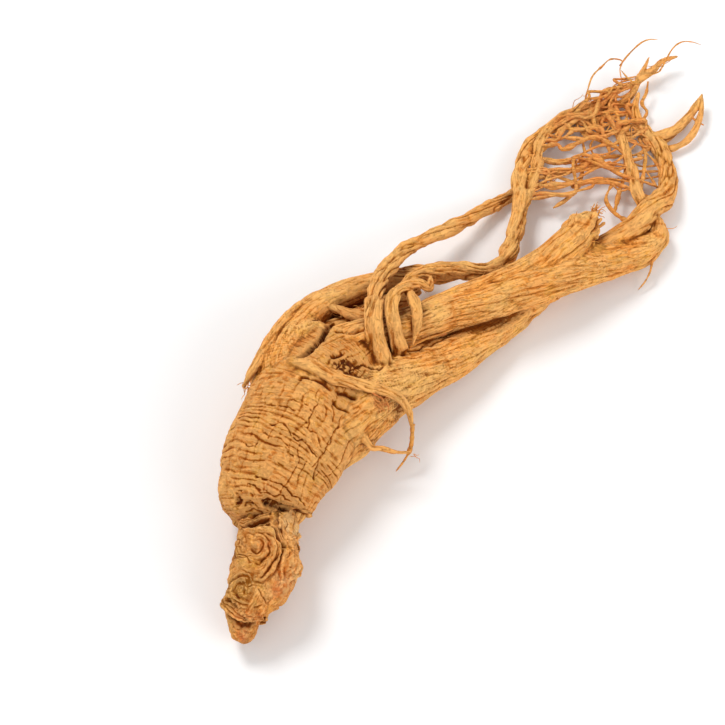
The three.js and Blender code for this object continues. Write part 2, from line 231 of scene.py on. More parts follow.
# Shrivelled scale leaves round the neck, as skirts that open towards the neck's end: distance along the neck,
# middle angle (0 is the top, a positive angle is to the right), half width in radians, length, lean away from
# the neck in radians, thickness, ruffle, share of the neck's narrowing that it follows.
SKIRTS = [
    (2.4, 0.84, 0.46, 7, 0.2, 1.3, 0.8, 0.6),
    (8, 0.95, 0.42, 6.5, 0.08, 0.9, 0.4, 0.7),
    (11.2, 1.2, 0.34, 3.2, 0.02, 0.8, 0.35, 0.8),
    (7, -1.35, 0.5, 5.5, 0.08, 0.9, 0.4, 0.6),
    (13, -1.15, 0.6, 4, -0.05, 0.8, 0.3, 0.8),
    (16.4, 0, 0.98, 7.3, 0.03, 1, 0.6, 0.35),
    (18.5, 2.7, 1.3, 4.5, 0.15, 0.9, 0.6, 0.6),
    (4, 2.6, 1.3, 5, 0.2, 1, 0.5, 0.6),
]

# Folds of the neck, each as bends (distance along, angle). Grooves: depth, half width, bends.
NECK_GROOVES = [
    (1.2, 0.4, [(0.6, -0.71), (0.3, -0.48), (0.7, -0.2), (1.4, 0.06), (1.7, 0.4), (2.4, 0.84)]),
    (0.9, 0.45, [(4.5, -0.63), (3.7, -0.4), (3.3, -0.05)]),
    (1.2, 0.38, [(5.9, -1.17), (6.8, -0.41), (6.5, -0.09), (5.6, 0.26)]),
    (0.7, 0.5, [(6, -0.22), (5, 0.17)]),
    (0.4, 0.25, [(10.7, -0.39), (12.6, -0.21), (11.8, -0.07), (10.4, -0.02), (9.3, -0.18)]),
    (0.5, 0.35, [(15.5, -0.24), (14.9, -0.05), (12.9, 0.08)]),
    (0.4, 0.2, [(9.7, 0.4), (11.5, 0.41), (14, 0.33), (15.7, 0.28), (16.6, 0.16)]),
    (0.4, 0.2, [(12.5, 0.51), (14.5, 0.51)]),
    (0.35, 0.18, [(11.6, 0.77), (14.5, 0.79)]),
    (0.35, 0.22, [(11.8, -0.75), (15.1, -0.35), (15.5, -0.18)]),
    (0.5, 0.3, [(19.4, -0.85), (20.4, -0.86)]),
    (0.4, 0.25, [(19.4, -0.16), (19.7, 0.1)]),
    (0.4, 0.25, [(21, -0.38), (21.2, -0.07), (20.6, 0.35)]),
    (0.35, 0.25, [(20.7, 0.44), (20.1, 0.66), (19.4, 0.73)]),
    (0.3, 0.2, [(17.7, -0.01), (17.1, 0.14)]),
    (0.25, 0.18, [(17.2, 0.37), (17, 0.6)]),
    (1, 0.5, [(22.6, -1.1), (23.8, -0.6), (24.9, -0.1), (24.9, 0.4), (23.8, 0.9)]),
    (0.9, 0.6, [(20.4, 0.95), (21.4, 1.2), (22, 1.6)]),
    (0.35, 0.16, [(1.2, 0.9), (4, 1), (6.5, 0.9)]),
    (0.35, 0.16, [(2.8, 1.25), (5, 1.2), (8.2, 0.95)]),
    (0.3, 0.14, [(3.6, 0.6), (5, 0.72), (6.8, 0.6)]),
    (0.3, 0.15, [(8.6, -0.9), (9.4, -0.6), (10.4, -0.75)]),
    (0.3, 0.15, [(13.2, -0.3), (14.2, -0.55), (14, -0.9)]),
    (0.3, 0.15, [(17.6, 0.2), (18.6, 0.5), (19, 0.9)]),
    (0.3, 0.15, [(16.4, -0.6), (17, -0.3), (16.6, 0)]),
]

# Ledges: height, then bends with the high side on their left.
NECK_LEDGES = [
    (0.8, [(1.6, -0.8), (1.9, -0.52), (2.4, -0.2), (2.9, 0.11), (3.7, 0.27)]),
    (1, [(5.3, -1.05), (5.7, -0.81), (5.9, -0.42), (5.2, -0.17), (4.3, 0.22)]),
    (0.5, [(8.4, 0.4), (7.2, 0.18), (7.3, -0.16), (7.1, -0.56), (6.5, -1.12)]),
    (0.45, [(14.6, -0.24), (13.7, -0.05), (11.6, 0.07), (9.9, 0.07), (8.9, -0.05), (8.3, -0.29)]),
    (0.6, [(16.7, -0.01), (15.7, 0.18), (13.7, 0.26), (11, 0.3), (9.3, 0.2), (8.2, -0.04)]),
    (0.5, [(17.5, -0.02), (16.5, 0.28), (15.3, 0.42), (12.8, 0.47), (10.5, 0.5), (8.8, 0.42)]),
    (0.8, [(5.5, 0.29), (7.4, 0.43), (9.2, 0.52), (9.8, 0.76)]),
    (0.6, [(9.7, 0.81), (5.5, 1.47), (3.7, 1.49)]),
    (0.4, [(10.2, 0.63), (12.2, 0.57), (14.6, 0.61), (15.6, 0.77)]),
    (0.4, [(10.8, 0.85), (12.5, 0.78), (14.3, 0.77), (15.5, 0.87)]),
    (0.4, [(15.7, 0.88), (14.7, 1.06), (13, 1.49), (12.3, 1.44)]),
    (0.4, [(21.8, -0.44), (21.1, -0.92), (19.5, -1.2), (18.3, -0.68), (17.3, -0.38), (17, -0.08)]),
    (0.4, [(20.4, 0.37), (20.8, -0.09), (20.5, -0.45), (19.5, -0.53), (18.5, -0.38), (18, -0.08)]),
    (1, [
        (21.8, -1.07), (22.7, -0.75), (23.5, -0.33), (24.2, 0.15), (23.6, 0.59), (22.8, 1.03), (20.2, 1.18),
    ]),
]

# Knobs and dips, patches of colour, and dark spots of painted shade: distance along, angle, reach, height.
NECK_KNOBS = [(10.5, -0.25, 0.8, 0.8), (12.8, 1.25, 1.2, 0.4), (16.5, 0.85, 3, 0.5), (19.8, -0.28, 1.3, -0.2)]
PALE_SPOTS = [
    (5.8, 0.91, 3.6, 1), (13.2, 1.34, 1.2, 1), (9.6, -0.55, 1.8, 0.4), (15, 0.85, 3, 0.7),
    (25.4, 0.35, 3, 0.5),
]
DARK_SHADE_SPOTS = [(11, -1.1, 2.8, 1.5), (20.6, -0.8, 1.9, 1.7), (19.2, -0.15, 2.2, 1.3), (4.2, -0.35, 1.5, 1.2)]
PINK_SPOTS = [(25.5, 0, 3.2, 1), (22.5, 0.9, 2, 0.8), (11, 0.1, 1.6, 0.6), (16.4, 0.75, 2.2, 0.6)]

# The crescent of painted shade at the body's end, likewise.
SHOULDER_SHADE_SPOTS = [(4.8, 0.15, 1.7, 0.5), (4.7, -0.2, 1.9, 0.9), (4.4, -0.6, 1.9, 0.9), (4.2, -0.95, 1.6, 0.6)]

# Round these places on the neck (distance along, angle), its layers and streaks run in circles.
ROSETTES = [(10.5, -0.25), (19.8, -0.28)]

# Marked cracks on the body: depth and half width, then distance along and angle of each bend.
CRACKS = [
    (0.5, 0.15, [(14.3, 0.26), (15.4, 0.01), (14.7, -0.33), (14.3, -0.74), (13.9, -0.91)]),
    (0.35, 0.13, [(13, 0.3), (13, -0.06), (11.4, -0.54)]),
    (0.38, 0.13, [(10.8, 0.62), (11.2, 0.19)]),
    (0.3, 0.12, [(11.9, -0.18), (11.9, -0.29), (11.5, -0.41)]),
    (0.34, 0.13, [(23.7, -0.32), (20.2, -0.37), (16.5, -0.34)]),
    (0.42, 0.14, [(23.8, -0.85), (17.4, -0.83), (12.7, -0.93), (9.2, -1)]),
    (0.55, 0.16, [(6, 0.15), (6.4, -0.12), (6.3, -0.46), (6.1, -0.68), (5.8, -0.94), (5.2, -1.2)]),
    (0.42, 0.14, [(4.2, 0.3), (4.4, 0), (4.5, -0.18), (4.3, -0.34), (4.6, -0.55), (4.7, -0.8)]),
    (0.32, 0.13, [(3.5, -0.1), (3.5, -0.32), (3.4, -0.59), (4, -0.8)]),
    (1.9, 0.75, [(2.7, -0.05), (2.5, -0.3), (2.1, -0.55), (1.6, -0.9)]),
    (0.8, 0.5, [(1.8, 0.75), (2.5, 0.4)]),
    (0.4, 0.3, [(2.9, 0.25), (2.6, 0.05)]),
    (0.35, 0.18, [(1.5, 0.5), (1.9, 0.2), (1.6, -0.05), (1.1, -0.3)]),
    (0.3, 0.16, [(0.9, 0.55), (1.3, 0.25), (1, 0), (0.5, -0.3)]),
    (0.25, 0.15, [(0.4, 0.5), (0.7, 0.2), (0.4, -0.1)]),
    (0.25, 0.14, [(2.4, 0.2), (1.2, 0.1), (0.4, 0.05)]),
    (0.4, 0.2, [(3.2, 0.5), (3.6, 0.27)]),
    (0.9, 0.32, [(25.1, 0.17), (25.1, 0.02)]),
    (0.3, 0.12, [(18.3, 0.55), (18.8, 0.2), (18.2, -0.1)]),
    (0.26, 0.12, [(20.6, 0.1), (20.4, -0.25), (19.6, -0.6)]),
    (0.26, 0.12, [(8.6, 0.3), (9, -0.15), (8.6, -0.5)]),
    (0.26, 0.12, [(16.8, -0.1), (16.9, -0.45), (16.2, -0.8)]),
]

# Deep creases where limbs meet: depth, half width, then the bends in space.
CREASES = [
    (2.6, 0.55, [
        (-35.2, -17.2, 22.5), (-33, -14.6, 21), (-31, -11.3, 19), (-29.6, -7.6, 16), (-28.8, -3, 12),
    ]),
    (1.2, 0.4, [(-28.4, -8.5, 17.6), (-25.3, -8.9, 18), (-22.6, -8.3, 17.8)]),
    (0.8, 0.3, [(-35.4, -21.6, 22.9), (-33.4, -22.1, 23.2), (-30.6, -23.2, 22.8), (-28.6, -24.5, 22)]),
    (0.9, 0.5, [(-28, -24.3, 21.6), (-25.8, -24.2, 20.1), (-23.6, -24.6, 18.5)]),
    (0.8, 0.3, [(-24.9, -27.7, 18.4), (-27.3, -27.1, 20.1), (-28.8, -26.1, 21.6)]),
    (0.9, 0.4, [(-29.2, -15.9, 21.6), (-27.8, -16.4, 21.4), (-26, -14.8, 20.2)]),
    (0.8, 0.3, [(-24, -17.2, 19.3), (-21.1, -16.1, 16.6), (-18.7, -15.2, 15.5)]),
    (0.7, 0.3, [(-15.3, -11.8, 13.7), (-12.1, -9.4, 12.2), (-8.8, -7.5, 11), (-5, -4.9, 9.4)]),
]

# Hair-thin rootlets: radius at the start and at the end, then the line.
THREADS = [
    (0.2, 0.13, [
        (25, 55, 1.2), (25, 58.5, 1.6), (25.5, 60, 3.6), (26.5, 62.5, 5), (28.5, 64.5, 5.6),
        (30.5, 66.5, 5.6), (33, 66.5, 5), (32.5, 64.5, 4.6), (33, 62, 3),
    ]),
    (0.2, 0.1, [(32.5, 65.5, 4.6), (34.5, 68, 5.4), (37, 70.5, 5.8), (39, 71.6, 5.8), (41, 72, 5.2)]),
    (0.17, 0.12, [(36.7, 61.2, 3.5), (34.5, 61.8, 4.5), (32.7, 64.4, 4.5)]),
    (0.22, 0.1, [
        (37.5, 63.5, 3.6), (40.5, 64, 4.2), (41.5, 65, 4.6), (43.9, 69.5, 5), (46, 71.2, 5.4),
        (48.3, 71.4, 5.2), (50.5, 71, 4.6),
    ]),
    (0.3, 0.12, [(37.6, 17.8, 3.6), (36.9, 16.4, 3.5), (36.4, 14.3, 3), (35.3, 12.5, 2), (33.9, 11, 1.2)]),
    (0.5, 0.16, [(-13, -25, 9.6), (-13.2, -28, 6.5), (-14.5, -30, 4), (-16.2, -31.6, 2.2)]),
    (0.5, 0.3, [(23.5, 56.5, 1.6), (21, 52, 2.6), (18.5, 49, 2.8), (16.5, 46, 2.6), (14, 43.5, 2.6)]),
    (0.35, 0.5, [
        (27.5, 57.5, 1.2), (30, 52, 2.4), (31.5, 47.5, 2.6), (32.5, 43.5, 2.6), (32.5, 39, 2.8),
        (31, 34, 3.2), (29.5, 27.5, 4.5),
    ]),
    (0.3, 0.4, [(34.5, 60, 1.6), (34, 55, 2.4), (32.5, 49.5, 2.4), (31.5, 45, 2.4)]),
    (0.3, 0.4, [(38.5, 62, 3.6), (38, 59.5, 3), (37, 57, 2.6), (38, 55, 2.2), (36.5, 52.5, 1.6)]),
    (0.3, 0.4, [
        (22.5, 53, 2.2), (24, 49, 2.6), (26.5, 47.5, 2.8), (29.5, 46.5, 2.8), (32, 45, 2.6), (34.5, 43, 2.2),
    ]),
    (0.45, 0.35, [
        (12, 43, 3.4), (15.5, 42.5, 3), (20, 41.5, 2.8), (25.5, 42.5, 2.6), (30.5, 43.5, 2.4), (35, 44, 2.2),
        (38.5, 46, 1.6),
    ]),
    (0.35, 0.55, [(36, 48.5, 1.6), (37, 44, 2.8), (36.5, 39.5, 3.2), (35.5, 34.5, 3.4), (35, 30, 4)]),
    (0.3, 0.2, [(36.5, 40, 3.2), (38, 37, 3.2), (39.5, 34.5, 2.8), (41, 33.5, 2.4)]),
    (0.3, 0.2, [(37, 44.5, 2.6), (39, 41.5, 3), (40, 38, 3), (40.5, 35.5, 2.6)]),
    (0.25, 0.35, [(26, 57.5, 1.2), (25, 53.5, 2.2), (25, 50.5, 2.4), (24, 47.5, 2.4), (24.5, 43, 2.6)]),
    (0.2, 0.3, [(29, 54, 2), (27.5, 52.5, 2.4), (27, 49, 2.6), (25.5, 46, 2.6), (26.5, 42.5, 2.6)]),
    (0.2, 0.3, [(30, 51.5, 2.4), (28.5, 48, 2.6), (29.5, 44.5, 2.6), (28, 42.5, 2.6)]),
    (0.6, 0.3, [
        (34.5, 22.5, 5), (32, 25, 5.4), (29.5, 27.5, 5), (28, 31, 4.4), (29, 34.5, 3.6), (31, 37.5, 3),
    ]),
    (0.35, 0.45, [(25, 42.5, 2.8), (23.5, 39, 3.4), (22.5, 35, 3.6), (20, 32, 3.4), (17, 30, 3)]),
    (0.5, 0.35, [(11, 37.5, 3.6), (15.5, 37.5, 3.4), (20, 39, 3.2), (24, 41, 3), (28.5, 41.5, 2.8)]),
    (0.95, 0.7, [(-12, -9, 7.8), (-8.5, -5.4, 8), (-6.2, -3.7, 8), (-3, -1.6, 6.8), (0, -0.5, 5.5)]),
    (0.3, 0.14, [(-13.4, -9.6, 13.2), (-10.8, -7.9, 13), (-9, -6.8, 12.4), (-7.1, -5.5, 11.3)]),
    (0.25, 0.15, [(47.5, 53.5, 2.4), (48.6, 52.4, 2.4), (50, 51.6, 2.2)]),
]
ORANGE_THREADS = [
    (0.18, 0.09, [(-21.4, -22.6, 18.3), (-20.2, -23.1, 17.9), (-18.9, -23.4, 16.7), (-17.6, -23.7, 15.4)]),
    (0.15, 0.08, [
        (-20.6, -23.6, 17.3), (-19.6, -24.2, 17.1), (-18.6, -24.2, 16.1), (-18, -23.8, 15.6),
        (-17.4, -24.2, 14.9),
    ]),
    (0.16, 0.08, [(-20.3, -24.4, 16.9), (-19.3, -24.7, 16.3), (-18.4, -25.3, 15.2), (-17.6, -25.2, 14.6)]),
    (0.14, 0.07, [(-19.4, -23, 17.3), (-18.8, -23.8, 17), (-18.9, -24.9, 16.2), (-19.4, -25.6, 15.4)]),
    (0.14, 0.07, [(-18.4, -23.2, 16), (-17.9, -24.2, 16.3), (-17.8, -25.2, 15.4), (-18.3, -25.9, 14.4)]),
    (0.7, 0.5, [(-8.1, -5.2, 9.7), (-6.7, -4.4, 10.2), (-5.5, -3.7, 10), (-4.2, -2.8, 9)]),
]

# Tufts of fibres: centre, main direction, how many, length, spread, radius, share of orange ones.
TUFTS = [
    ((24.4, 22.2, 12.6), (0.45, 0.85, 0.3), 26, 2.6, 0.6, 0.12, 0.15),
    ((-19.8, -24, 16.6), (0.7, -0.2, -0.5), 12, 2.6, 0.45, 0.12, 1),
    ((-45.4, -19.2, 14.8), (-0.2, -0.95, -0.3), 10, 3, 0.35, 0.11, 0.1),
    ((16.6, 37.6, 1.4), (0.8, 0.5, 0.2), 8, 2.8, 0.6, 0.09, 0.3),
    ((-12.9, -31, 8.8), (0.95, 0.1, -0.2), 3, 2.4, 0.4, 0.08, 0.3),
]

# A net of thin rootlets: the two limbs, each with the stretch of its length that is used, and how many.
NET = [
    (("twin", 0.45, 0.95), ("left_leg", 0.9, 0.97), 10),
    (("left_leg", 0.72, 0.86), ("hook", 0.72, 0.95), 9),
    (("twin", 0.3, 0.8), ("inner", 0.5, 0.95), 9),
    (("inner", 0.5, 0.95), ("hook", 0.7, 0.98), 7),
    (("left_leg", 0.6, 0.72), ("inner", 0.3, 0.7), 7),
    (("left_leg", 0.62, 0.76), ("hook", 0.35, 0.6), 5),
]


# ---- Random fields and curves ----
class Field:
    """A smooth random field in space: random values at the corners of unit cubes, blended across each cube
    with the fade 6t^5 - 15t^4 + 10t^3. It runs from -1 to 1 and repeats after 32 cubes."""

    SIZE = 32

    def __init__(self, seed):
        self.values = np.random.default_rng(seed).uniform(-1, 1, (self.SIZE,) * 3).astype(np.float32)

    def __call__(self, places):
        cell = np.floor(places).astype(np.int64)
        part = (places - cell).astype(np.float32)
        fade = part**3 * (part * (part * 6 - 15) + 10)
        total = np.zeros(len(places), np.float32)
        for corner in np.ndindex(2, 2, 2):
            x, y, z = ((cell + corner) % self.SIZE).T
            total += np.prod(np.where(corner, fade, 1 - fade), axis=1) * self.values[x, y, z]
        return total


FIELDS = [Field(seed) for seed in range(8)]


def bell(distance, reach):
    """exp(-(distance / reach)^2)"""
    return np.exp(-((distance / reach) ** 2))


def smoothstep(low, high, values):
    """3t^2 - 2t^3, with t the values' place between low and high, held between 0 and 1."""
    t = np.clip((values - low) / (high - low), 0, 1)
    return t * t * (3 - 2 * t)


def layered(places, *layers):
    """The sum of fields, each given by its strength, its number and the size of its cubes."""
    return sum(strength * FIELDS[k](places / size) for strength, k, size in layers)


def creases(places, seed, width):
    """Valleys where a field plus half of one twice as fine passes through nought: a bell curve of the sum."""
    return bell(FIELDS[seed](places) + 0.5 * FIELDS[(seed + 3) % len(FIELDS)](2 * places + 5.3), width)


def valley(phase, width):
    """A groove each time the phase gains one: a bell curve of its fraction minus a half."""
    return bell(phase % 1 - 0.5, width)


def unit(vectors):
    return vectors / np.maximum(np.linalg.norm(vectors, axis=-1, keepdims=True), 1e-9)


def around(angle, over, side):
    """Directions round a line: the angle's cosine times over plus its sine times side."""
    return np.cos(angle)[..., None] * over + np.sin(angle)[..., None] * side


# ---- Centre lines ----
def catmull_rom(points, per_span):
    """Uniform Catmull-Rom curve: each span is the cubic through its two ends whose slope at each is half the
    chord between that end's neighbours. The outer neighbours mirror the second points in the ends."""
    ends = np.vstack([2 * points[0] - points[1], points, 2 * points[-1] - points[-2]])
    a, b, c, d = (ends[k : len(ends) - 3 + k, None] for k in range(4))
    t = (np.arange(per_span) / per_span)[None, :, None]
    curve = 0.5 * (2 * b + (c - a) * t + (2 * a - 5 * b + 4 * c - d) * t**2 + (3 * b - a - 3 * c + d) * t**3)
    return np.vstack([curve.reshape(-1, points.shape[1]), points[-1:]])


class Limb:
    """A limb's line as dense samples: centre, radius, distance along, and a frame of three unit vectors:
    along the line, to its left side (up crossed with along) and over it (along crossed with side). A free end
    narrows over its tip: the radius times 0.16 plus 0.84 times the root of the distance to the end over the
    tip."""

    def __init__(self, radius, kind, lobes, tips, stations):
        self.kind = kind
        self.lobes = lobes
        curve = catmull_rom(np.array(stations, float), PER_SPAN)
        self.centre = curve[:, :3]
        self.radius = np.maximum(curve[:, 3] * radius, 0.2)
        self.along = unit(np.gradient(self.centre, axis=0))
        self.side = unit(np.cross([0.0, 0.0, 1.0], self.along))
        self.over = np.cross(self.along, self.side)
        steps = np.linalg.norm(np.diff(self.centre, axis=0), axis=1)
        self.distance = np.concatenate([[0], np.cumsum(steps)])
        self.share = np.linspace(0, 1, len(curve))
        for tip, left in zip(tips, (self.distance, self.distance[-1] - self.distance)):
            if tip:
                self.radius = self.radius * (0.16 + 0.84 * np.sqrt(np.clip(left / tip, 0, 1)))
        margin = self.radius.max() + MARGIN
        self.low, self.high = self.centre.min(0) - margin, self.centre.max(0) + margin

    def fold(self, angle, share):
        """How far the ring swells at an angle: one plus a cosine of its lobes, which twist along it."""
        count, depth, twist, start = self.lobes
        return 1 + depth * np.cos(count * angle + start + twist * share)

    def measure(self, places):
        """For each place: height above the limb's skin (9 where it is out of the limb's reach), distance
        along, angle round it (0 is the top), the nearest radius, and the unit vector away from the line. The
        nearest sample is found first, then the foot of the perpendicular within half a step of it."""
        reached = np.flatnonzero(((places > self.low) & (places < self.high)).all(1))
        part = places[reached]
        squares = (self.centre**2).sum(1).astype(np.float32)
        double = (2 * self.centre.T).astype(np.float32)
        chunks = np.array_split(part.astype(np.float32), len(part) // CHUNK + 1)
        near = np.concatenate([(squares - chunk @ double).argmin(1) for chunk in chunks])
        away = part - self.centre[near]
        half_step = 0.5 * self.distance[-1] / (len(self.distance) - 1)
        slide = np.clip((away * self.along[near]).sum(1), -half_step, half_step)
        away -= slide[:, None] * self.along[near]
        angle = np.arctan2((away * self.side[near]).sum(1), (away * self.over[near]).sum(1))
        reach = np.linalg.norm(away, axis=1)
        height = reach - self.radius[near] * self.fold(angle, self.share[near])
        found = np.zeros((len(places), 7))
        found[:, 0] = OUT_OF_REACH
        found[reached, :4] = np.stack([height, self.distance[near] + slide, angle, self.radius[near]], 1)
        found[reached, 4:] = away / np.maximum(reach, 1e-6)[:, None]
        return *found[:, :4].T, found[:, 4:]


LINES = {name: Limb(*limb) for name, limb in LIMBS.items()}
SKIN_LINES = {name: line for name, line in LINES.items() if name != "neck"}
CROWN_LINES = {name: LINES[name] for name in ("neck", "body")}


# ---- Closed meshes on grids ----
def closed_tube(rings):
    """Faces of a tube whose rings, arrays of points, run from one end to the other, with an n-gon on each
    end. The rings turn left round the direction in which they run."""
    rows, sides = rings.shape[:2]
    number = np.arange(rows * sides).reshape(rows, sides)
    here, there = number[:-1], number[1:]
    quads = np.stack([here, np.roll(here, -1, 1), np.roll(there, -1, 1), there], axis=-1).reshape(-1, 4)
    return rings.reshape(-1, 3), [*quads.tolist(), number[0, ::-1].tolist(), number[-1].tolist()]


def limb_surface(line):
    """Rings round the line, swollen by the limb's lobes, with a round cap on each end: six more rings whose
    radius is the end's times the cosine, and whose step out is 0.6 of it times the sine, of 15 to 88
    degrees."""
    sides = SIDES[line.kind]
    angle = 2 * np.pi * np.arange(sides) / sides
    turn = np.radians(np.linspace(15, 88, CAP_RINGS))
    count = len(line.radius)
    index = np.concatenate([np.zeros(CAP_RINGS, int), np.arange(count), np.full(CAP_RINGS, count - 1)])
    first = [-0.6 * line.radius[0] * np.sin(a) for a in turn[::-1]]
    last = [0.6 * line.radius[-1] * np.sin(a) for a in turn]
    out = np.concatenate([first, np.zeros(count), last])
    scale = np.concatenate([np.cos(turn[::-1]), np.ones(count), np.cos(turn)])
    reach = (line.radius[index] * scale)[:, None] * line.fold(angle[None, :], line.share[index][:, None])
    centre = line.centre[index] + out[:, None] * line.along[index]
    ring = around(angle, line.over[index][:, None], line.side[index][:, None])
    return closed_tube((centre[:, None] + reach[..., None] * ring)[:, ::-1])


def scar_surface(at, facing, radius, height, hollow):
    """A short stalk, turned about its own axis, whose end goes from a low dome to a cup with a rolled rim as
    hollow goes from 0 to 1."""
    rim = np.array([(0.02, -1), (0.8, -1), (0.95, -0.4), (1, -0.05), (0.95, 0.1)])
    dome = np.array([(0.75, 0.2), (0.5, 0.28), (0.3, 0.32), (0.02, 0.34)])
    cup = np.array([(0.84, 0.2), (0.66, -0.1), (0.45, -0.5), (0.02, -0.6)])
    profile = np.vstack([rim, (1 - hollow) * dome + hollow * cup])
    axis = unit(np.array(facing, float))
    across = unit(np.cross(axis, [0.3, 0.9, 0.1]))
    circle = around(2 * np.pi * np.arange(SCAR_SIDES) / SCAR_SIDES, across, np.cross(axis, across))
    rings = profile[:, 0, None, None] * radius * circle + profile[:, 1, None, None] * height * axis
    return closed_tube(rings + np.array(at, float))


def skirt_surface(line, start, middle, half_width, length, lean, thickness, ruffle, follow, seed):
    """A scale leaf: a curved sheet that grows from the neck towards its end. Across, its length is an ellipse
    of the angle. It leans out from its foot on the line, waves ruffle it more and more towards its free edge,
    and it thins to its edges. Each ring goes up the outside, over the edge and back down the inside."""
    span = np.linspace(-1, 1, SKIRT_COLUMNS)
    flat = 0 * span
    angle = middle + half_width * span
    outline = length * np.sqrt(np.clip(1 - np.abs(span) ** 2.5, 0.004, 1))
    bumpy = FIELDS[seed % len(FIELDS)](np.stack([3.1 * span + 9, flat + seed, flat], 1))
    outline = outline * (1 + 0.25 * bumpy)
    up = np.concatenate([np.linspace(-0.3, 1, SKIRT_ROWS), np.linspace(1, -0.3, SKIRT_ROWS)])
    face = np.repeat([0.5, -0.5], SKIRT_ROWS) * np.sqrt(np.clip(1.02 - np.clip(up, 0, 1) ** 3, 0, 1))
    height = outline[:, None] * up
    where = np.clip(start + height * np.cos(lean), 0, line.distance[-1] - 0.1)
    foot = np.stack([np.interp(where, line.distance, line.centre[:, k]) for k in range(3)], -1)
    base = np.interp(np.clip(start + follow * height, 0, 99), line.distance, line.radius)
    waves = np.sin(6 * angle + 2.2 * seed) * 0.5 + np.sin(15 * angle + seed) * 0.25
    waves = waves + 0.7 * FIELDS[(seed + 1) % len(FIELDS)](np.stack([6.5 * span, flat + 2.2, flat + seed], 1))
    taper = np.sqrt(np.clip(1 - span**4, 0.02, 1))
    reach = 0.95 * base + height * np.sin(lean) + ruffle * waves[:, None] * np.clip(up, 0, 1) ** 1.4
    reach = reach + thickness * face * taper[:, None]
    third = len(line.over) // 3
    return closed_tube(foot + reach[..., None] * around(angle[:, None], line.over[third], line.side[third]))


def thread_surface(points, first, last, sides, per_span, uneven=0.0):
    """A closed tube along a Catmull-Rom curve. Its radius goes evenly from the first to the last, times one
    plus two random fields along it, swells on two sides, and narrows to a point over its last tenth."""
    curve = catmull_rom(np.array(points, float), per_span)
    along = unit(np.gradient(curve, axis=0))
    side = unit(np.cross([0.23, 0.31, 0.92], along))
    share = np.linspace(0, 1, len(curve))
    radius = (first + (last - first) * share) * (1 + uneven * FIELDS[4](curve / 1.5))
    radius = radius * (1 + uneven * FIELDS[1](curve / 0.6)) * np.sqrt(np.clip((1.01 - share) / 0.1, 0, 1))
    angle = 2 * np.pi * np.arange(sides) / sides
    ring = around(angle, np.cross(along, side)[:, None], side[:, None])
    swell = 1 + uneven * 0.5 * np.cos(2 * angle[None, :] + 9 * share[:, None])
    return closed_tube((curve[:, None] + (radius[:, None] * swell)[..., None] * ring)[:, ::-1])


# ---- Meshes in Blender ----
def new_mesh_object(name, points, faces):
    mesh = bpy.data.meshes.new(name)
    mesh.from_pydata(np.asarray(points).tolist(), [], faces)
    mesh.update()
    made = bpy.data.objects.new(name, mesh)
    bpy.context.collection.objects.link(made)
    return made


def joined(surfaces):
    """One list of points and one of faces from several."""
    points, faces, shift = [], [], 0
    for some_points, some_faces in surfaces:
        points.append(some_points)
        faces += [[k + shift for k in face] for face in some_faces]
        shift += len(some_points)
    return np.vstack(points), faces


def apply_modifier(made, kind, **settings):
    modifier = made.modifiers.new(kind, kind)
    for name, value in settings.items():
        setattr(modifier, name, value)
    with bpy.context.temp_override(object=made, active_object=made, selected_objects=[made]):
        bpy.ops.object.modifier_apply(modifier=modifier.name)


def read(items, key, width, kind):
    """An array with a row for each of a mesh's items."""
    values = np.empty(len(items) * width, kind)
    items.foreach_get(key, values)
    return values.reshape(-1, width)


def read_vertices(mesh, key):
    return read(mesh.vertices, key, 3, np.float32).astype(float)


def write_points(mesh, points):
    mesh.vertices.foreach_set("co", points.astype(np.float32).ravel())
    mesh.update()


def keep_largest_part(mesh):
    """Deletes every part that isn't joined to the largest one. Each vertex starts with its own number, and
    takes the least number among its neighbours', and then that number's number, until nothing changes."""
    one, other = read(mesh.edges, "vertices", 2, np.int32).T
    part = np.arange(len(mesh.vertices))
    changed = True
    while changed:
        least = part.copy()
        np.minimum.at(least, one, part[other])
        np.minimum.at(least, other, part[one])
        least = least[least]
        changed = (least != part).any()
        part = least
    stray = np.flatnonzero(part != np.bincount(part).argmax())
    shape = bmesh.new()
    shape.from_mesh(mesh)
    shape.verts.ensure_lookup_table()
    bmesh.ops.delete(shape, geom=[shape.verts[k] for k in stray], context="VERTS")
    shape.to_mesh(mesh)
    shape.free()


def neighbour_mean(mesh):
    """Gives a function that takes an array over the vertices, and a number of rounds, to the mean of each
    vertex's neighbours, so many times over."""
    one, other = read(mesh.edges, "vertices", 2, np.int32).T
    count = len(mesh.vertices)
    degree = np.bincount(one, minlength=count) + np.bincount(other, minlength=count)

    def mean(values, rounds=1):
        for _ in range(rounds):
            sums = [np.bincount(one, v[other], count) + np.bincount(other, v[one], count) for v in values.T]
            values = (np.array(sums) / degree).T
        return values

    return mean


def relax(points, mean, rounds, weight=1.0):
    """Taubin smoothing: a step of 0.5 towards the neighbours' mean, then one of 0.53 back, so it doesn't
    shrink."""
    for _ in range(rounds):
        points = points + 0.5 * weight * (mean(points) - points)
        points = points - 0.53 * weight * (mean(points) - points)
    return points


# ---- Fillets between limbs ----
def fillet_size(places):
    """The least fillet plus, for each joint, its size times a bell curve of the distance over its reach."""
    size = np.full(len(places), LEAST_FILLET)
    for centre, reach, most in JOINTS:
        size += most * np.exp(-(((places - centre) / reach) ** 2).sum(1))
    return size


def smooth_least(heights, aways, size):
    """Minus size times the log of the sum of exp(-height / size), and the heights' slopes blended alike."""
    heights = np.array(heights)
    least = heights.min(0)
    shares = np.exp(-(heights - least) / size)
    total = shares.sum(0)
    return least - size * np.log(total), np.einsum("ln,lnk->nk", shares / total, np.array(aways))


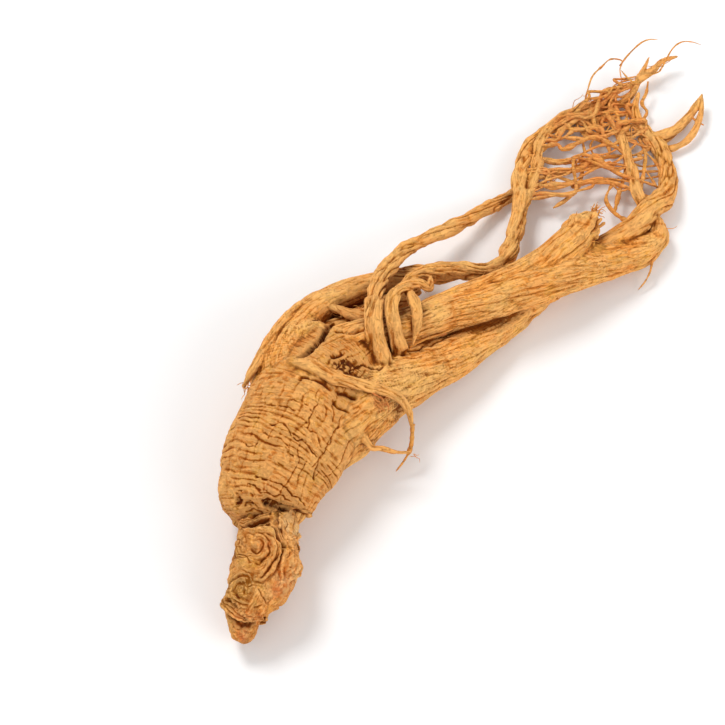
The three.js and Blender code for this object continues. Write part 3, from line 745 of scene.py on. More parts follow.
def fill_fillets(places, lines):
    """Moves the fused surface out, in three rounds, to where the smooth least of the limbs' heights is
    nought. Rootlets join with the least fillet, so that they stand clear of what they lie on."""
    for _ in range(3):
        measures = [(line.kind, line.measure(places)) for line in lines.values()]
        thick = [(m[0], m[4]) for kind, m in measures if kind != "rootlet"]
        thin = [(m[0], m[4]) for kind, m in measures if kind == "rootlet"]
        joined_up = smooth_least(*zip(*thick), fillet_size(places))
        smooth, slope = smooth_least(*zip(joined_up, *thin), LEAST_FILLET)
        places = places + np.clip(-smooth, 0, 1.2)[:, None] * unit(slope)
    return places


def openness(places, normals, step):
    """How free a place is of other limbs: the height above every limb at a step out along the normal, as a
    share of the step. The material paints shade where it is low."""
    probe = places + step * normals
    heights = np.min([line.measure(probe)[0] for line in LINES.values()], axis=0)
    return np.clip(heights / step, 0, 1)


# ---- Relief ----
def round_places(distance, angle, radius, along_size, round_size):
    """Places for a field that follows the limb's skin: cells are along_size long and round_size wide."""
    across = [np.cos(angle) * radius / round_size, np.sin(angle) * radius / round_size]
    return np.stack([distance / along_size, *across], 1)


def nearest_piece(points, line, flat=1.0):
    """For a line of straight pieces: each point's least distance, with the foot of the perpendicular held
    between a piece's ends, the length travelled to that foot, 1 on that piece's left and -1 on its right, and
    the whole length. Each axis counts by its share in flat."""
    lengths = np.linalg.norm(np.diff(line * flat, axis=0), axis=1)
    least = np.full(len(points), 99.0)
    travelled = np.zeros(len(points))
    left = np.ones(len(points))
    for start, end, length, before in zip(line[:-1], line[1:], lengths, np.cumsum(lengths) - lengths):
        along = (end - start) * flat / length
        offset = (points - start) * flat
        foot = offset @ along
        reach = np.linalg.norm(offset - np.clip(foot, 0, length)[:, None] * along, axis=1)
        nearer = reach < least
        turn = along[0] * offset[:, 1] - along[1] * offset[:, 0]
        least = np.where(nearer, reach, least)
        travelled = np.where(nearer, before + foot, travelled)
        left = np.where(nearer, np.where(turn > 0, 1, -1), left)
    return least, travelled, left, lengths.sum()


def to_bends(distance, angle, bends, radius):
    """On a limb's unrolled skin, from a line through the bends: the least distance, 1 on the line's left and
    -1 on its right, and a fade from 0 at both ends of the line to 1 at 0.9 mm from them."""
    point = np.stack([distance, radius * angle], 1)
    least, travelled, left, length = nearest_piece(point, np.array(bends) * [1, radius])
    return least, left, smoothstep(0, 0.9, travelled) * smoothstep(0, 0.9, length - travelled)


def crease_depth(places):
    """The deepest of the creases in space at each place: a bell curve of the distance to the crease's line,
    in which heights count a third, wandering with a field and fading at both ends."""
    bent = places + 0.35 * np.stack([FIELDS[k](places / 1.3 + k) for k in (0, 3, 6)], 1)
    deepest = np.zeros(len(places))
    for depth, half_width, bends in CREASES:
        line = np.array(bends, float)
        near = np.flatnonzero(((places > line.min(0) - 3) & (places < line.max(0) + 3)).all(1))
        least, travelled, _, length = nearest_piece(bent[near], line, np.array([1, 1, 0.35]))
        fade = smoothstep(-0.3, 1.2, travelled) * smoothstep(-0.3, 1.2, length - travelled)
        deepest[near] = np.maximum(deepest[near], depth * fade * bell(least, half_width))
    return deepest


def spots(distance, angle, table, radius=NECK_REACH):
    """The sum of bell curves on a limb's unrolled skin, each with its reach and its height."""
    total = np.zeros(len(distance))
    for along, turn, reach, height in table:
        total += height * bell(np.hypot(distance - along, radius * (angle - turn)), reach)
    return total


def crusted(places, spread):
    """exp(-d^4), with d the distance to the crust's centre over its reach along each axis times spread."""
    centre, reach = CRUST
    return np.exp(-(np.linalg.norm((places - centre) / (spread * np.array(reach)), axis=1) ** 4))


def body_relief(places, distance, angle, radius):
    """Rings: grooves round the body at 1.02 mm, six parts sharp to four rippled, bent by two fields and
    broken by another that differs from ring to ring, deepest in a band past the middle and at the shoulder;
    finer ones at 0.6 mm lie over them. Cracks: 32 round the body, bent and broken alike, deepest on its right
    side, and 88 short ones in the shoulder's dark crescent. Then the marked cracks, which wander and have
    ragged edges, low lumps under it all, and crumbs of three sizes, sunk by 0.7, where a stem broke off."""
    skin = partial(round_places, distance, angle, radius)
    wave = 0.5 * FIELDS[6](skin(6, 7)) + 0.3 * FIELDS[7](skin(2.2, 2.6))
    phase = distance / RING_STEP + wave
    band = bell(distance - 13, 5) + 0.35 * bell(distance - 4.5, 3.2)
    strength = smoothstep(-0.6, 0.5, FIELDS[2](np.stack([7.3 * np.floor(phase), *skin(1, 3.6).T[1:]], 1)))
    ripple = 0.5 - 0.5 * np.cos(2 * np.pi * phase)
    ring = (0.6 * valley(phase, 0.13) + 0.4 * ripple) * strength * (0.09 + 0.24 * np.clip(band, 0, 1))
    fine_phase = distance / FINE_RING_STEP + 1.7 * wave
    fine_strength = FIELDS[5](np.stack([5.9 * np.floor(fine_phase), *skin(1, 2.2).T[1:]], 1))
    fine = 0.07 * valley(fine_phase, 0.22) * smoothstep(-0.4, 0.6, fine_strength)
    turn = angle * CRACKS_ROUND / (2 * np.pi) + 0.5 * FIELDS[3](skin(5, 5)) + 0.25 * FIELDS[0](skin(1.8, 2))
    broken = FIELDS[4](np.stack([5.1 * (np.floor(turn) % CRACKS_ROUND), distance / 2.7, 0 * distance], 1))
    right = smoothstep(0.9, -0.5, angle) * smoothstep(1.5, 6, distance)
    crack = 0.22 * valley(turn, 0.1) * smoothstep(-0.3, 0.5, broken) * (0.25 + 0.75 * right)
    ticks = angle * TICKS_ROUND / (2 * np.pi) + 0.5 * FIELDS[7](skin(1.5, 2))
    spaced = FIELDS[0](np.stack([3.7 * (np.floor(ticks) % TICKS_ROUND), distance, angle], 1))
    crescent = np.clip(spots(distance, angle, SHOULDER_SHADE_SPOTS, SHOULDER_REACH), 0, 1)
    crack += 0.13 * valley(ticks, 0.2) * smoothstep(-0.5, 0.3, spaced) * crescent
    marked = np.zeros(len(places))
    ragged = 0.14 * FIELDS[1](places / 0.7)
    wander = layered(places, (0.7, 7, 2.1), (0.25, 0, 0.8))
    drift = 0.06 * FIELDS[2](places / 1.7)
    for depth, half_width, bends in CRACKS:
        reach, _, fade = to_bends(distance + wander, angle + drift, bends, BODY_REACH)
        marked = np.maximum(marked, depth * fade * bell(np.maximum(reach + ragged, 0), half_width))
    lumps = layered(places, (0.3, 5, 5), (0.17, 1, 2.3), (0.07, 3, 0.9))
    crust = crusted(places, 1)
    crumbs = layered(places, (0.22, 2, 0.7), (0.3, 4, 1.2), (0.4, 6, 2.4))
    groove = np.maximum(ring + crack + fine, marked)
    return lumps - groove + crust * (crumbs - 0.7), groove + 0.3 * crust


def leg_relief(places, distance, angle, radius):
    """Long folds: creases stretched along the leg, in two sizes, over long low lumps, shorter ones that wind
    round it and a few cross folds. Where the leg is thin, it takes the rootlets' folds."""
    size = np.clip(radius / LEG_RADIUS, 0.3, 1)
    warp = 0.5 * FIELDS[6](places / 4)
    turned = angle + 0.02 * distance + 0.12 * warp
    long_folds = creases(round_places(distance, turned, radius, 10, 1.3), 2, 0.2)
    fine_folds = creases(round_places(distance, turned, radius, 6, 0.62), 5, 0.26)
    cross = creases(round_places(distance + warp, angle, radius, 1.1, 3), 6, 0.17)
    cross_mask = smoothstep(0.1, 0.6, FIELDS[3](places / 4))
    short = creases(round_places(distance + 0.8 * radius * turned, turned, radius, 3.2, 0.9), 0, 0.2)
    lumps = 0.24 * FIELDS[1](places / 3.6) + 0.24 * FIELDS[4](round_places(distance, turned, radius, 8, 2.0))
    groove = size * (0.17 * long_folds + 0.1 * fine_folds + 0.08 * short + 0.07 * cross * cross_mask)
    thin = smoothstep(2.9, 1.9, radius)
    thin_rise, thin_groove = rootlet_relief(places, distance, angle, radius)
    rise = (1 - thin) * (size * lumps - groove) + thin * thin_rise
    return rise, (1 - thin) * groove + thin * thin_groove


def rootlet_relief(places, distance, angle, radius):
    """Folds along the rootlet in two sizes, which wind slowly round it, pinches along it, and a few lumps."""
    turned = angle + 0.12 * distance
    folds = creases(round_places(distance, turned, 1.35, 9, 1), 3, 0.26)
    fine = creases(round_places(distance, turned, 3.1, 5, 1), 6, 0.3)
    groove = radius * (0.27 * folds + 0.07 * fine)
    pinch = 0.16 * FIELDS[4](np.stack([distance / 2.7, 0 * distance, 0 * distance], 1))
    return radius * (pinch + 0.16 * FIELDS[2](places / 1.8) + 0.09) - groove, groove


def swirl(distance, angle):
    """Where a place on the neck's unrolled skin lies from the nearer rosette: distance and direction."""
    offsets = [(distance - along, NECK_REACH * (angle - turn)) for along, turn in ROSETTES]
    one, other = (np.hypot(*offset) for offset in offsets)
    first, second = (np.arctan2(offset[1], offset[0]) for offset in offsets)
    return np.minimum(one, other), np.where(one < other, first, second)


def crown_relief(places, distance, angle, radius):
    """The neck's folds. A groove is a bell curve of the distance to its line. A ledge rises to its line over
    1.5 mm on the left, cut by two thin layers, and drops over 0.2 mm on the right into a small groove. Knobs
    are bell curves of the distance to a point. On the far side, where no fold is listed, grooves lie 1.3 mm
    apart, broken by a field. Layers 0.68 mm apart run round the rosettes, and lumps and short creases cover
    it all."""
    distance = distance + 0.3 * FIELDS[3](places / 1.4) + 0.12 * FIELDS[5](places / 0.6)
    turned = angle + 0.05 * FIELDS[6](places / 1.4)
    groove = np.zeros(len(places))
    rise = np.zeros(len(places))
    for depth, half_width, bends in NECK_GROOVES:
        reach, _, fade = to_bends(distance, turned, bends, NECK_REACH)
        groove = np.maximum(groove, depth * fade * bell(reach, half_width))
    for height, bends in NECK_LEDGES:
        reach, left, fade = to_bends(distance, turned, bends, NECK_REACH)
        low = bell(reach, 0.2) - 0.4 * bell(reach - 0.4, 0.35)
        layers = bell(reach - 0.5, 0.14) + bell(reach - 1.0, 0.14)
        high = bell(reach, 1.5) - 0.22 * layers * smoothstep(-0.5, 0.3, FIELDS[5](places / 1.1))
        rise += height * fade * np.where(left > 0, high, low)
        groove = np.maximum(groove, 0.45 * height * fade * bell(left * reach + 0.4, 0.3))
        groove = np.maximum(groove, 0.2 * height * fade * layers * (left > 0))
    rise += spots(distance, angle, NECK_KNOBS)
    under = valley(distance / 1.3 + 0.6 * FIELDS[3](places / 3.4), 0.16)
    under = under * smoothstep(-0.4, 0.4, FIELDS[5](places / 2.4)) * smoothstep(1.2, 1.9, np.abs(angle))
    short = creases(places / np.array([2.0, 1.2, 1.5]), 7, 0.2)
    short = short * smoothstep(-0.2, 0.5, FIELDS[4](places / 2.6))
    fine = creases(places / 0.8, 2, 0.24)
    layers = valley(swirl(distance, angle)[0] / LAYER_STEP + 0.8 * FIELDS[1](places / 1.9), 0.2)
    layers = layers * smoothstep(-0.3, 0.4, FIELDS[4](places / 1.6))
    groove = np.maximum(groove, 0.35 * under + 0.15 * short + 0.05 * fine + 0.1 * layers)
    lumps = layered(places, (0.3, 0, 2.8), (0.12, 1, 1.3), (0.05, 2, 0.6))
    return rise + lumps - groove, groove


RELIEF = {"body": body_relief, "leg": leg_relief, "rootlet": rootlet_relief, "neck": crown_relief}


def skin_relief(places, lines):
    """Blends the limbs' reliefs by how near each limb's skin is: shares are exp(-height / 0.45), made to sum
    to one. Gives the height, the depth of the grooves, each kind's share, and the place on the nearest limb's
    own skin, which on the neck is the direction from the nearer rosette and the distance to it."""
    measures = {name: line.measure(places) for name, line in lines.items()}
    heights = np.array([m[0] for m in measures.values()])
    shares = np.exp(-(heights - heights.min(0)) / BLEND)
    shares /= shares.sum(0)
    relief = np.zeros(len(places))
    groove = np.zeros(len(places))
    kinds = {kind: np.zeros(len(places)) for kind in RELIEF}
    path = np.zeros((len(places), 3))
    nearest = shares.argmax(0)
    for k, (name, (_, distance, angle, radius, _)) in enumerate(measures.items()):
        kind = LINES[name].kind
        kinds[kind] += shares[k]
        mine = shares[k] > 0.02
        rise, cut = RELIEF[kind](places[mine], distance[mine], angle[mine], radius[mine])
        relief[mine] += shares[k][mine] * rise
        groove[mine] += shares[k][mine] * cut
        mine = nearest == k
        if name == "neck":
            reach, direction = swirl(distance[mine], angle[mine])
            path[mine] = np.stack([3 * direction, reach, 0 * reach], 1)
        else:
            path[mine] = round_places(distance[mine] + PATH_STEP * k, angle[mine], radius[mine], 1, 1)
    crease = crease_depth(places) * (1 - kinds["neck"])
    return relief - crease, np.maximum(groove, crease), kinds, path


# ---- The fused pieces ----
def sculpted(name, surfaces, lines, voxel, triangles, softening=0):
    """Fuses closed surfaces on a grid of voxels, rounds the joints, either by fillets or by rounds of steps
    to the neighbours' mean, presses the relief in along the normals, and thins the mesh. Then it works out on
    the thinned mesh what the material reads."""
    made = new_mesh_object(name, *joined(surfaces))
    apply_modifier(made, "REMESH", mode="VOXEL", voxel_size=voxel)
    mesh = made.data
    mean = neighbour_mean(mesh)
    places = relax(read_vertices(mesh, "co"), mean, rounds=3)
    if softening:
        places = mean(places, softening)
    else:
        places = relax(fill_fillets(places, lines), mean, rounds=5)
    write_points(mesh, places)
    normals = read_vertices(mesh, "normal")
    relief = skin_relief(places, lines)[0]
    places = relax(places + relief[:, None] * normals, mean, rounds=1, weight=0.7)
    places[:, 2] = np.maximum(places[:, 2], 0)
    write_points(mesh, places)
    count = sum(len(face.vertices) - 2 for face in mesh.polygons)
    if count > triangles:
        apply_modifier(made, "DECIMATE", ratio=triangles / count)
    keep_largest_part(mesh)
    finish_skin(made, lines)
    return made


def finish_piece(made, points, attributes):
    """Writes the attributes, turns the points into metres, and puts the piece on the body."""
    for name, values in attributes.items():
        kind, key = ("FLOAT_VECTOR", "vector") if values.ndim == 2 else ("FLOAT", "value")
        layer = made.data.attributes.new(name, kind, "POINT")
        layer.data.foreach_set(key, values.astype(np.float32).ravel())
    write_points(made.data, points * MM)
    made.data.shade_smooth()
    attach(made, BODY)


def finish_skin(made, lines):
    """Works out what the material reads. Hollows are how far the vertex lies under the mean of its neighbours
    after 4 rounds, and wide ones after 14; open is the room to other limbs within 3 mm; deep is the groove's
    depth from 0.6 to 1.5 mm. From these the material paints shade in hollows, grooves and sheltered places,
    and a highlight on ridges. The rest are shares: of the kinds of limb, the crust, the shoulder's crescent
    of painted shade, and on the crown the pale and pink spots and the dark spots of painted shade."""
    mesh = made.data
    mean = neighbour_mean(mesh)
    places = read_vertices(mesh, "co")
    normals = read_vertices(mesh, "normal")
    _, groove, kinds, path = skin_relief(places, lines)
    soft = mean(places, 4)
    hollow = ((soft - places) * normals).sum(1)
    wide_hollow = ((mean(soft, 10) - places) * normals).sum(1)
    attributes = {
        "path": path,
        "groove": np.clip(groove / 0.35, 0, 1),
        "deep": smoothstep(0.6, 1.5, groove),
        "hollow": np.clip(0.5 + hollow / 0.24, 0, 1),
        "wide_hollow": np.clip(0.5 + wide_hollow / 0.7, 0, 1),
        "open": openness(places, normals, SHELTER),
        "crown": kinds["neck"],
        "trunk": kinds["body"],
        "thin": kinds["rootlet"],
        "crust": crusted(places, 1.1),
    }
    if "neck" in lines:
        distance, angle = lines["neck"].measure(places)[1:3]
        # Pale and pink spots of colour, and dark spots of painted shade, on the crown.
        for name, table in (("pale", PALE_SPOTS), ("pink", PINK_SPOTS), ("dark", DARK_SHADE_SPOTS)):
            attributes[name] = np.clip(spots(distance, angle, table), 0, 1)
    distance, angle = lines["body"].measure(places)[1:3]
    # The shoulder's crescent of painted shade.
    crescent = spots(distance, angle, SHOULDER_SHADE_SPOTS, SHOULDER_REACH) * (1 - kinds["neck"])
    attributes["shoulder"] = np.clip(crescent, 0, 1)
    finish_piece(made, places, attributes)


def torn_strands(line, count, seed):
    """Strands of a torn end. Each starts under the limb's skin at 0.55 to 0.7 of its length, follows it just
    inside the skin, and runs on past the end by 0.4 to 2.6 mm, drifting at random."""
    chance = np.random.default_rng(seed)
    last = len(line.radius) - 1
    surfaces = []
    for k in range(count):
        angle = 2 * np.pi * (k + chance.uniform(-0.3, 0.3)) / count
        first = int(chance.uniform(0.55, 0.7) * last)
        index = np.linspace(first, last, 5).astype(int)
        out = around(angle, line.over[index], line.side[index])
        reach = line.radius[first] * np.array([0.7, 0.86, 0.84, 0.74, 0.62])
        lie = line.centre[index] + reach[:, None] * out
        way = unit(line.along[last] + 0.3 * chance.normal(size=3) - 0.1 * out[-1])
        beyond = lie[-1] + way * np.array([[0.5], [1.0]]) * chance.uniform(0.4, 2.6)
        surfaces.append(thread_surface(np.vstack([lie, beyond]), 0.95, 0.4, sides=9, per_span=5, uneven=0.25))
    return surfaces


def make_crown():
    neck = LINES["neck"]
    parts = [limb_surface(neck), *(scar_surface(*scar) for scar in SCARS)]
    parts += [skirt_surface(neck, *skirt, seed=k) for k, skirt in enumerate(SKIRTS)]
    return sculpted("crown", parts, CROWN_LINES, CROWN_VOXEL, CROWN_TRIANGLES, softening=8)


def make_skin():
    parts = [limb_surface(line) for line in SKIN_LINES.values()]
    parts.append(scar_surface(*BODY_SCAR))
    parts += torn_strands(LINES["stub"], count=11, seed=STRAND_SEED)
    skin = sculpted("root_skin", parts, SKIN_LINES, VOXEL, SKIN_TRIANGLES)
    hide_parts(NODE)
    return skin


# ---- Hair-thin rootlets ----
def curling(start, way, length, curl, chance, steps=5):
    """Points of a fibre: equal steps, each in the last one's direction plus a random turn times curl."""
    points = [np.array(start, float)]
    way = unit(np.array(way, float))
    for _ in range(steps):
        way = unit(way + curl * chance.normal(size=3))
        points.append(points[-1] + way * length / steps)
    points = np.array(points)
    points[:, 2] = np.clip(points[:, 2], LOWEST_HAIR, HIGHEST_HAIR)
    return points


def net_thread(stretches, chance):
    """A thread from a random sample in one limb's stretch to one in another's: a straight line that wanders
    at random, most in its middle, and lies 0.9 mm higher there."""
    ends = []
    for name, low, high in stretches:
        centre = LINES[name].centre
        ends.append(centre[int(chance.uniform(low, high) * (len(centre) - 1))])
    share = np.linspace(0, 1, 6)[:, None]
    wander = 1.8 * chance.normal(size=(6, 3)) * np.array([1, 1, 0.35]) + [0, 0, 0.9]
    points = ends[0] + (ends[1] - ends[0]) * share + wander * np.sin(np.pi * share)
    points[:, 2] = np.maximum(points[:, 2], 0.5)
    first = chance.uniform(0.2, 0.65)
    last = chance.uniform(0.16, 0.42)
    return thread_surface(points, first, last, sides=7, per_span=7, uneven=0.3)


def fine_hair(hosts, chance):
    """A hair that leaves a random limb at a random place of its upper side, lies along it and curls away."""
    line = LINES[hosts[chance.integers(len(hosts))]]
    k = chance.integers(len(line.radius) // 3, len(line.radius) - 2)
    out = around(chance.normal() * 0.9, line.over[k], line.side[k])
    start = line.centre[k] + 0.9 * line.radius[k] * out
    heading = line.along[k] * chance.choice([-0.6, 1.0]) + 0.45 * out + 0.3 * chance.normal(size=3)
    points = curling(start, heading, length=chance.uniform(2, 5), curl=0.3, chance=chance)
    return thread_surface(points, 0.1, 0.05, sides=5, per_span=2)


def make_hairs():
    """All hair-thin rootlets as one piece, each with a share of pink: the listed threads, the net, tufts at
    torn ends, and fine hairs."""
    chance = np.random.default_rng(HAIR_SEED)
    threads = []
    for table, pink in ((THREADS, 0.15), (ORANGE_THREADS, 1)):
        for first, last, points in table:
            threads.append((thread_surface(points, first, last, sides=7, per_span=8, uneven=0.3), pink))
    for *stretches, count in NET:
        threads += [(net_thread(stretches, chance), 0.45) for _ in range(count)]
    for centre, way, count, length, spread, radius, share in TUFTS:
        for _ in range(count):
            start = np.array(centre) + 0.5 * chance.normal(size=3)
            heading = unit(np.array(way)) + spread * chance.normal(size=3)
            line = curling(start, heading, length * chance.uniform(0.5, 1.2), curl=0.35, chance=chance)
            fibre = thread_surface(line, radius, 0.5 * radius, sides=5, per_span=2)
            threads.append((fibre, chance.uniform() < share))
    hosts = [name for name, line in LINES.items() if line.kind in ("leg", "rootlet")]
    threads += [(fine_hair(hosts, chance), 0.3) for _ in range(FINE_HAIRS)]
    points, faces = joined([surface for surface, _ in threads])
    hairs = new_mesh_object("root_hairs", points, faces)
    attributes = {"path": points, "pink": np.concatenate([np.full(len(s[0]), float(p)) for s, p in threads])}
    # Levels at which the hairs take no painted shade and no painted highlight.
    for name, level in (("open", 1.0), ("hollow", 0.5), ("wide_hollow", 0.5), ("thin", 1.0)):
        attributes[name] = np.full(len(points), level)
    finish_piece(hairs, points, attributes)
    return hairs


# ---- Shader maths ----
class Value:
    """A socket's value in Python arithmetic. Each operator adds one Math node."""

    def __init__(self, shader, socket):
        self.shader = shader
        self.socket = socket

    def maths(self, operation, *values):
        return self.shader.node("Math", {"operation": operation}, *values)

    def __add__(self, other):
        return self.maths("ADD", self, other)

    def __sub__(self, other):
        return self.maths("SUBTRACT", self, other)

    def __rsub__(self, other):
        return self.maths("SUBTRACT", other, self)

    def __mul__(self, other):
        return self.maths("MULTIPLY", self, other)

    __radd__ = __add__
    __rmul__ = __mul__

    def clamped(self):
        return self.maths("MINIMUM", self.maths("MAXIMUM", self, 0.0), 1.0)


class Shader:
    """A material's node tree. node() makes any node: its type without the ShaderNode prefix, its settings,
    the values or links of its input sockets in order or by name, and which output is wanted."""

    def __init__(self, name):
        self.material = bpy.data.materials.new(name)
        self.material.use_nodes = True
        self.tree = self.material.node_tree

    def feed(self, socket, value):
        if isinstance(value, Value):
            self.tree.links.new(value.socket, socket)
        else:
            socket.default_value = value

    def node(self, kind, settings, *values, output=0, **named):
        made = self.tree.nodes.new("ShaderNode" + kind)
        for name, setting in settings.items():
            setattr(made, name, setting)
        for socket, value in zip(made.inputs, values):
            self.feed(socket, value)
        for name, value in named.items():
            self.feed(made.inputs[name.replace("_", " ")], value)
        return Value(self, made.outputs[output])

    def attribute(self, name, output="Fac"):
        return self.node("Attribute", {"attribute_name": name}, output=output)

    def noise(self, place, scale, detail=3.0, roughness=0.55, distortion=0.0, stretch=None):
        """A noise at a place, or at a place stretched along each axis."""
        if stretch:
            place = self.node("Mapping", {}, Vector=place, Scale=stretch)
        named = {"Scale": scale, "Detail": detail, "Roughness": roughness, "Distortion": distortion}
        return self.node("TexNoise", {}, Vector=place, **named)

    def step(self, value, low, high):
        """0 below low, 1 above high, smooth between; high may be the lower one."""
        first, last = min(low, high), max(low, high)
        made = self.node("MapRange", {"interpolation_type": "SMOOTHSTEP"}, value, first, last, 0.0, 1.0)
        return made if low < high else 1 - made

    def crease(self, noise, width):
        """1 where a noise passes through 0.5, smoothly down to 0 where it is the width away from it."""
        return self.step(self.node("Math", {"operation": "ABSOLUTE"}, noise - 0.5), width, 0.0)

    def mix(self, share, one, other):
        made = self.tree.nodes.new("ShaderNodeMix")
        made.data_type = "RGBA"
        for key, value in (("Factor_Float", share), ("A_Color", one), ("B_Color", other)):
            self.feed(next(s for s in made.inputs if s.identifier == key), value)
        return Value(self, next(s for s in made.outputs if s.identifier == "Result_Color"))

    def finish(self, **sockets):
        surface = self.tree.nodes["Principled BSDF"]
        for name, value in sockets.items():
            self.feed(surface.inputs[name.replace("_", " ")], value)
        return self.material


def tint(code):
    """A colour code such as e3a55f as linear light."""
    levels = np.array([int(code[k : k + 2], 16) for k in (0, 2, 4)]) / 255
    linear = np.where(levels <= 0.04045, levels / 12.92, ((levels + 0.055) / 1.055) ** 2.4)
    return (*linear.tolist(), 1.0)


def root_skin_finish():
    """Dried skin: straw and honey in clouds, streaks along the limbs and rings round the trunk, a browner
    crown; painted shade as a dark crescent on the shoulder, dark spots on the crown, brown in the grooves and
    hollows and where limbs shelter each other; painted highlights on the ridges."""
    s = Shader("root_skin")
    place = s.node("TexCoord", {}, output="Object")
    path = s.attribute("path", "Vector")
    groove, deep, hollow, wide_hollow = map(s.attribute, ("groove", "deep", "hollow", "wide_hollow"))
    crown, trunk, thin, open_air = map(s.attribute, ("crown", "trunk", "thin", "open"))
    crust, shoulder, pale, pink, dark = map(s.attribute, ("crust", "shoulder", "pale", "pink", "dark"))

    clouds = s.noise(place, 95)
    patches = s.noise(place, 290, 4, 0.6)
    blotches = s.noise(place, 620, 3, 0.6)
    mottle = s.noise(place, 430, 3, 0.6)
    grain = s.noise(place, 1700, 4, 0.65)
    streaks = s.noise(path, 1.0, 4, 0.6, stretch=(0.22, 1.6, 1.6))
    fine_streaks = s.noise(path, 1.0, 3, 0.6, stretch=(0.45, 4.5, 4.5))
    rings = s.noise(path, 1.0, 4, 0.65, stretch=(2.6, 0.22, 0.22))
    legs = (1 - trunk) * (1 - crown)
    leg_lines = s.crease(s.noise(path, 1.0, 3, 0.6, 0.5, (0.3, 2.0, 2.0)), 0.028) * (legs + crown)
    ring_lines = s.crease(s.noise(path, 1.0, 3, 0.6, 0.6, (1.7, 0.3, 0.3)), 0.028) * trunk
    fold_lines = s.crease(s.noise(place, 780, 3, 0.6, 0.8), 0.04) * (crown + 0.5 * trunk)
    fine_lines = (leg_lines + ring_lines + fold_lines).clamped()

    cloudy = s.step(clouds, 0.36, 0.66)
    body_tone = s.mix(cloudy, tint("e8a25c"), tint("f8b86e"))
    leg_tone = s.mix(cloudy, tint("ffb86a"), tint("ffd084"))
    crown_tone = s.mix(cloudy, tint("f2a65d"), tint("ffc479"))
    colour = s.mix(crown, s.mix(trunk, leg_tone, body_tone), crown_tone)
    # Painted shade: brown in the hollows and grooves, weaker on the legs and the crown.
    groove_shade = (s.step(hollow, 0.52, 0.85) * 0.55 + groove * 0.45) * (1 - legs * 0.3 - crown * 0.25)
    speckle = s.step(s.noise(place, 1150, 2, 0.5), 0.66, 0.73)
    layers = [
        (s.step(patches, 0.48, 0.66) * 0.5, "d48646"),
        (s.step(patches, 0.5, 0.32) * 0.6, "f8c268"),
        (s.step(blotches, 0.55, 0.7) * 0.4, "cf7f48"),
        (s.step(mottle, 0.54, 0.68) * 0.3, "c3a052"),
        (s.step(streaks, 0.5, 0.7) * legs * 0.45, "cf8840"),
        (s.step(fine_streaks, 0.54, 0.72) * (legs + 0.3 + 0.3 * crown).clamped() * 0.34, "b06c30"),
        (s.step(rings, 0.53, 0.68) * trunk * 0.5, "ad6028"),
        # Painted shade: the dark crescent on the shoulder.
        (shoulder * (0.45 + 0.3 * s.step(patches, 0.4, 0.65)), "a8643a"),
        (crown * s.step(patches, 0.5, 0.7) * 0.35, "a8652c"),
        (pale * s.step(blotches, 0.62, 0.4) * 0.8, "f6d49a"),
        (pink * s.step(blotches, 0.3, 0.6) * 0.7, "dd8258"),
        # Painted shade: dark spots on the crown.
        (dark * (0.45 + 0.4 * s.step(patches, 0.35, 0.6)), "80521a"),
        (thin * 0.3, "e9ad68"),
        (speckle * 0.45, "8a5526"),
        (fine_lines * s.step(streaks, 0.35, 0.6) * 0.36, "9c5a1e"),
        # Painted shade in the grooves and hollows.
        (groove_shade.clamped(), "8e4a12"),
        # Painted shade in the wide hollows, and darker in the deepest ones.
        (s.step(wide_hollow, 0.62, 0.95) * 0.55, "7c3d0a"),
        (s.step(hollow, 0.88, 1.0) * 0.5, "542606"),
        # Painted shade where other limbs shelter the skin.
        (s.step(open_air, 0.75, 0.0) * 0.75, "74380f"),
        # Painted highlight on the ridges.
        (s.step(hollow, 0.47, 0.3) * 0.5, "ffcc84"),
        # Painted shade in the deep grooves and creases.
        (deep * 0.75, "4a2006"),
        (crust * s.step(blotches, 0.3, 0.5) * s.step(hollow, 0.2, 0.5) * 0.9, "54280a"),
    ]
    for share, code in layers:
        colour = s.mix(share, colour, tint(code))
    colour = s.node("HueSaturation", {}, Color=colour, Hue=0.492, Saturation=1.075)

    relief = s.node("Bump", {}, Height=rings * trunk, Distance=0.0005, Strength=0.6)
    finer = ((1 - fine_lines, 0.00022, 0.8), (fine_streaks, 0.0003, 0.6), (grain, 0.0003, 0.7))
    for height, distance, strength in (*finer, (blotches, 0.0003, 0.4)):
        relief = s.node("Bump", {}, Height=height, Distance=distance, Strength=strength, Normal=relief)
    roughness = 0.6 + 0.22 * grain + 0.1 * groove
    return s.finish(Base_Color=colour, Roughness=roughness, Normal=relief, Specular_IOR_Level=0.15)


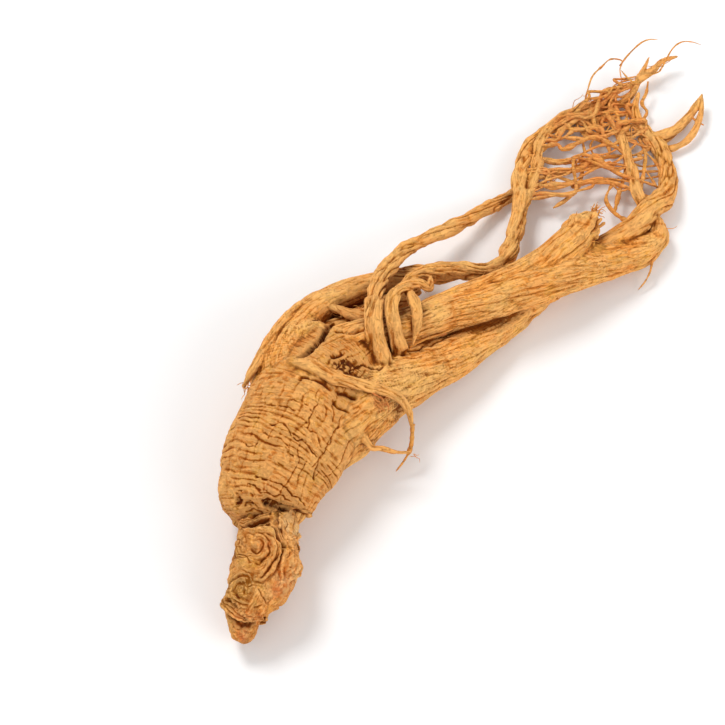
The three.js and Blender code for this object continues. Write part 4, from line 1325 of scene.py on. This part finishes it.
# ---- Floor, lights and camera ----
def make_floor(half, place):
    corners = [(-half, -half, 0), (half, -half, 0), (half, half, 0), (-half, half, 0)]
    floor = new_mesh_object("floor", corners, [(0, 1, 2, 3)])
    floor.location = place
    floor.data.materials.append(Shader("pale_floor").finish(Base_Color=(0.93, 0.93, 0.93, 1), Roughness=0.9))


def aimed(name, data, place, aim):
    """Links a lamp or a camera at a place, turned so that its -Z points to the aim, with +Y up."""
    made = bpy.data.objects.new(name, data)
    made.location = place
    made.rotation_euler = Vector((aim - place).tolist()).to_track_quat("-Z", "Y").to_euler()
    bpy.context.collection.objects.link(made)
    return made


def soft_light(name, place, size, power, aim):
    lamp = bpy.data.lights.new(name, "AREA")
    lamp.shape = "DISK"
    lamp.size = size
    lamp.energy = power
    aimed(name, lamp, np.array(place), aim)


def make_camera():
    """Looks down at 60 degrees, with the root across the frame from low left to high right."""
    aim = np.array([-0.0228, -0.0096, 0.0071])
    distance = 0.531
    tilt = np.radians(60)
    data = bpy.data.cameras.new("camera")
    data.sensor_width = 36
    data.lens = 131.83
    data.clip_start = 0.01
    place = aim + distance * np.array([0, -np.cos(tilt), np.sin(tilt)])
    bpy.context.scene.camera = aimed("camera", data, place, aim)


def make_studio():
    low, high = (np.array(corner) for corner in CAD_BOX)
    middle = (low + high) / 2
    make_floor(half=3.0, place=(*middle[:2], low[2]))
    make_camera()
    world = bpy.data.worlds.new("studio")
    world.use_nodes = True
    back = world.node_tree.nodes["Background"]
    back.inputs["Color"].default_value = (1, 1, 1, 1)
    back.inputs["Strength"].default_value = 0.61
    bpy.context.scene.world = world
    bpy.context.scene.view_settings.view_transform = "Standard"
    soft_light("key", place=(-0.35, 0.35, 0.75), size=0.35, power=4.1, aim=middle)
    soft_light("fill", place=(0.5, -0.45, 0.4), size=0.6, power=2.4, aim=middle)


pieces = [make_crown(), make_skin(), make_hairs()]
skin_finish = root_skin_finish()
for piece in pieces:
    piece.data.materials.clear()
    piece.data.materials.append(skin_finish)
make_studio()
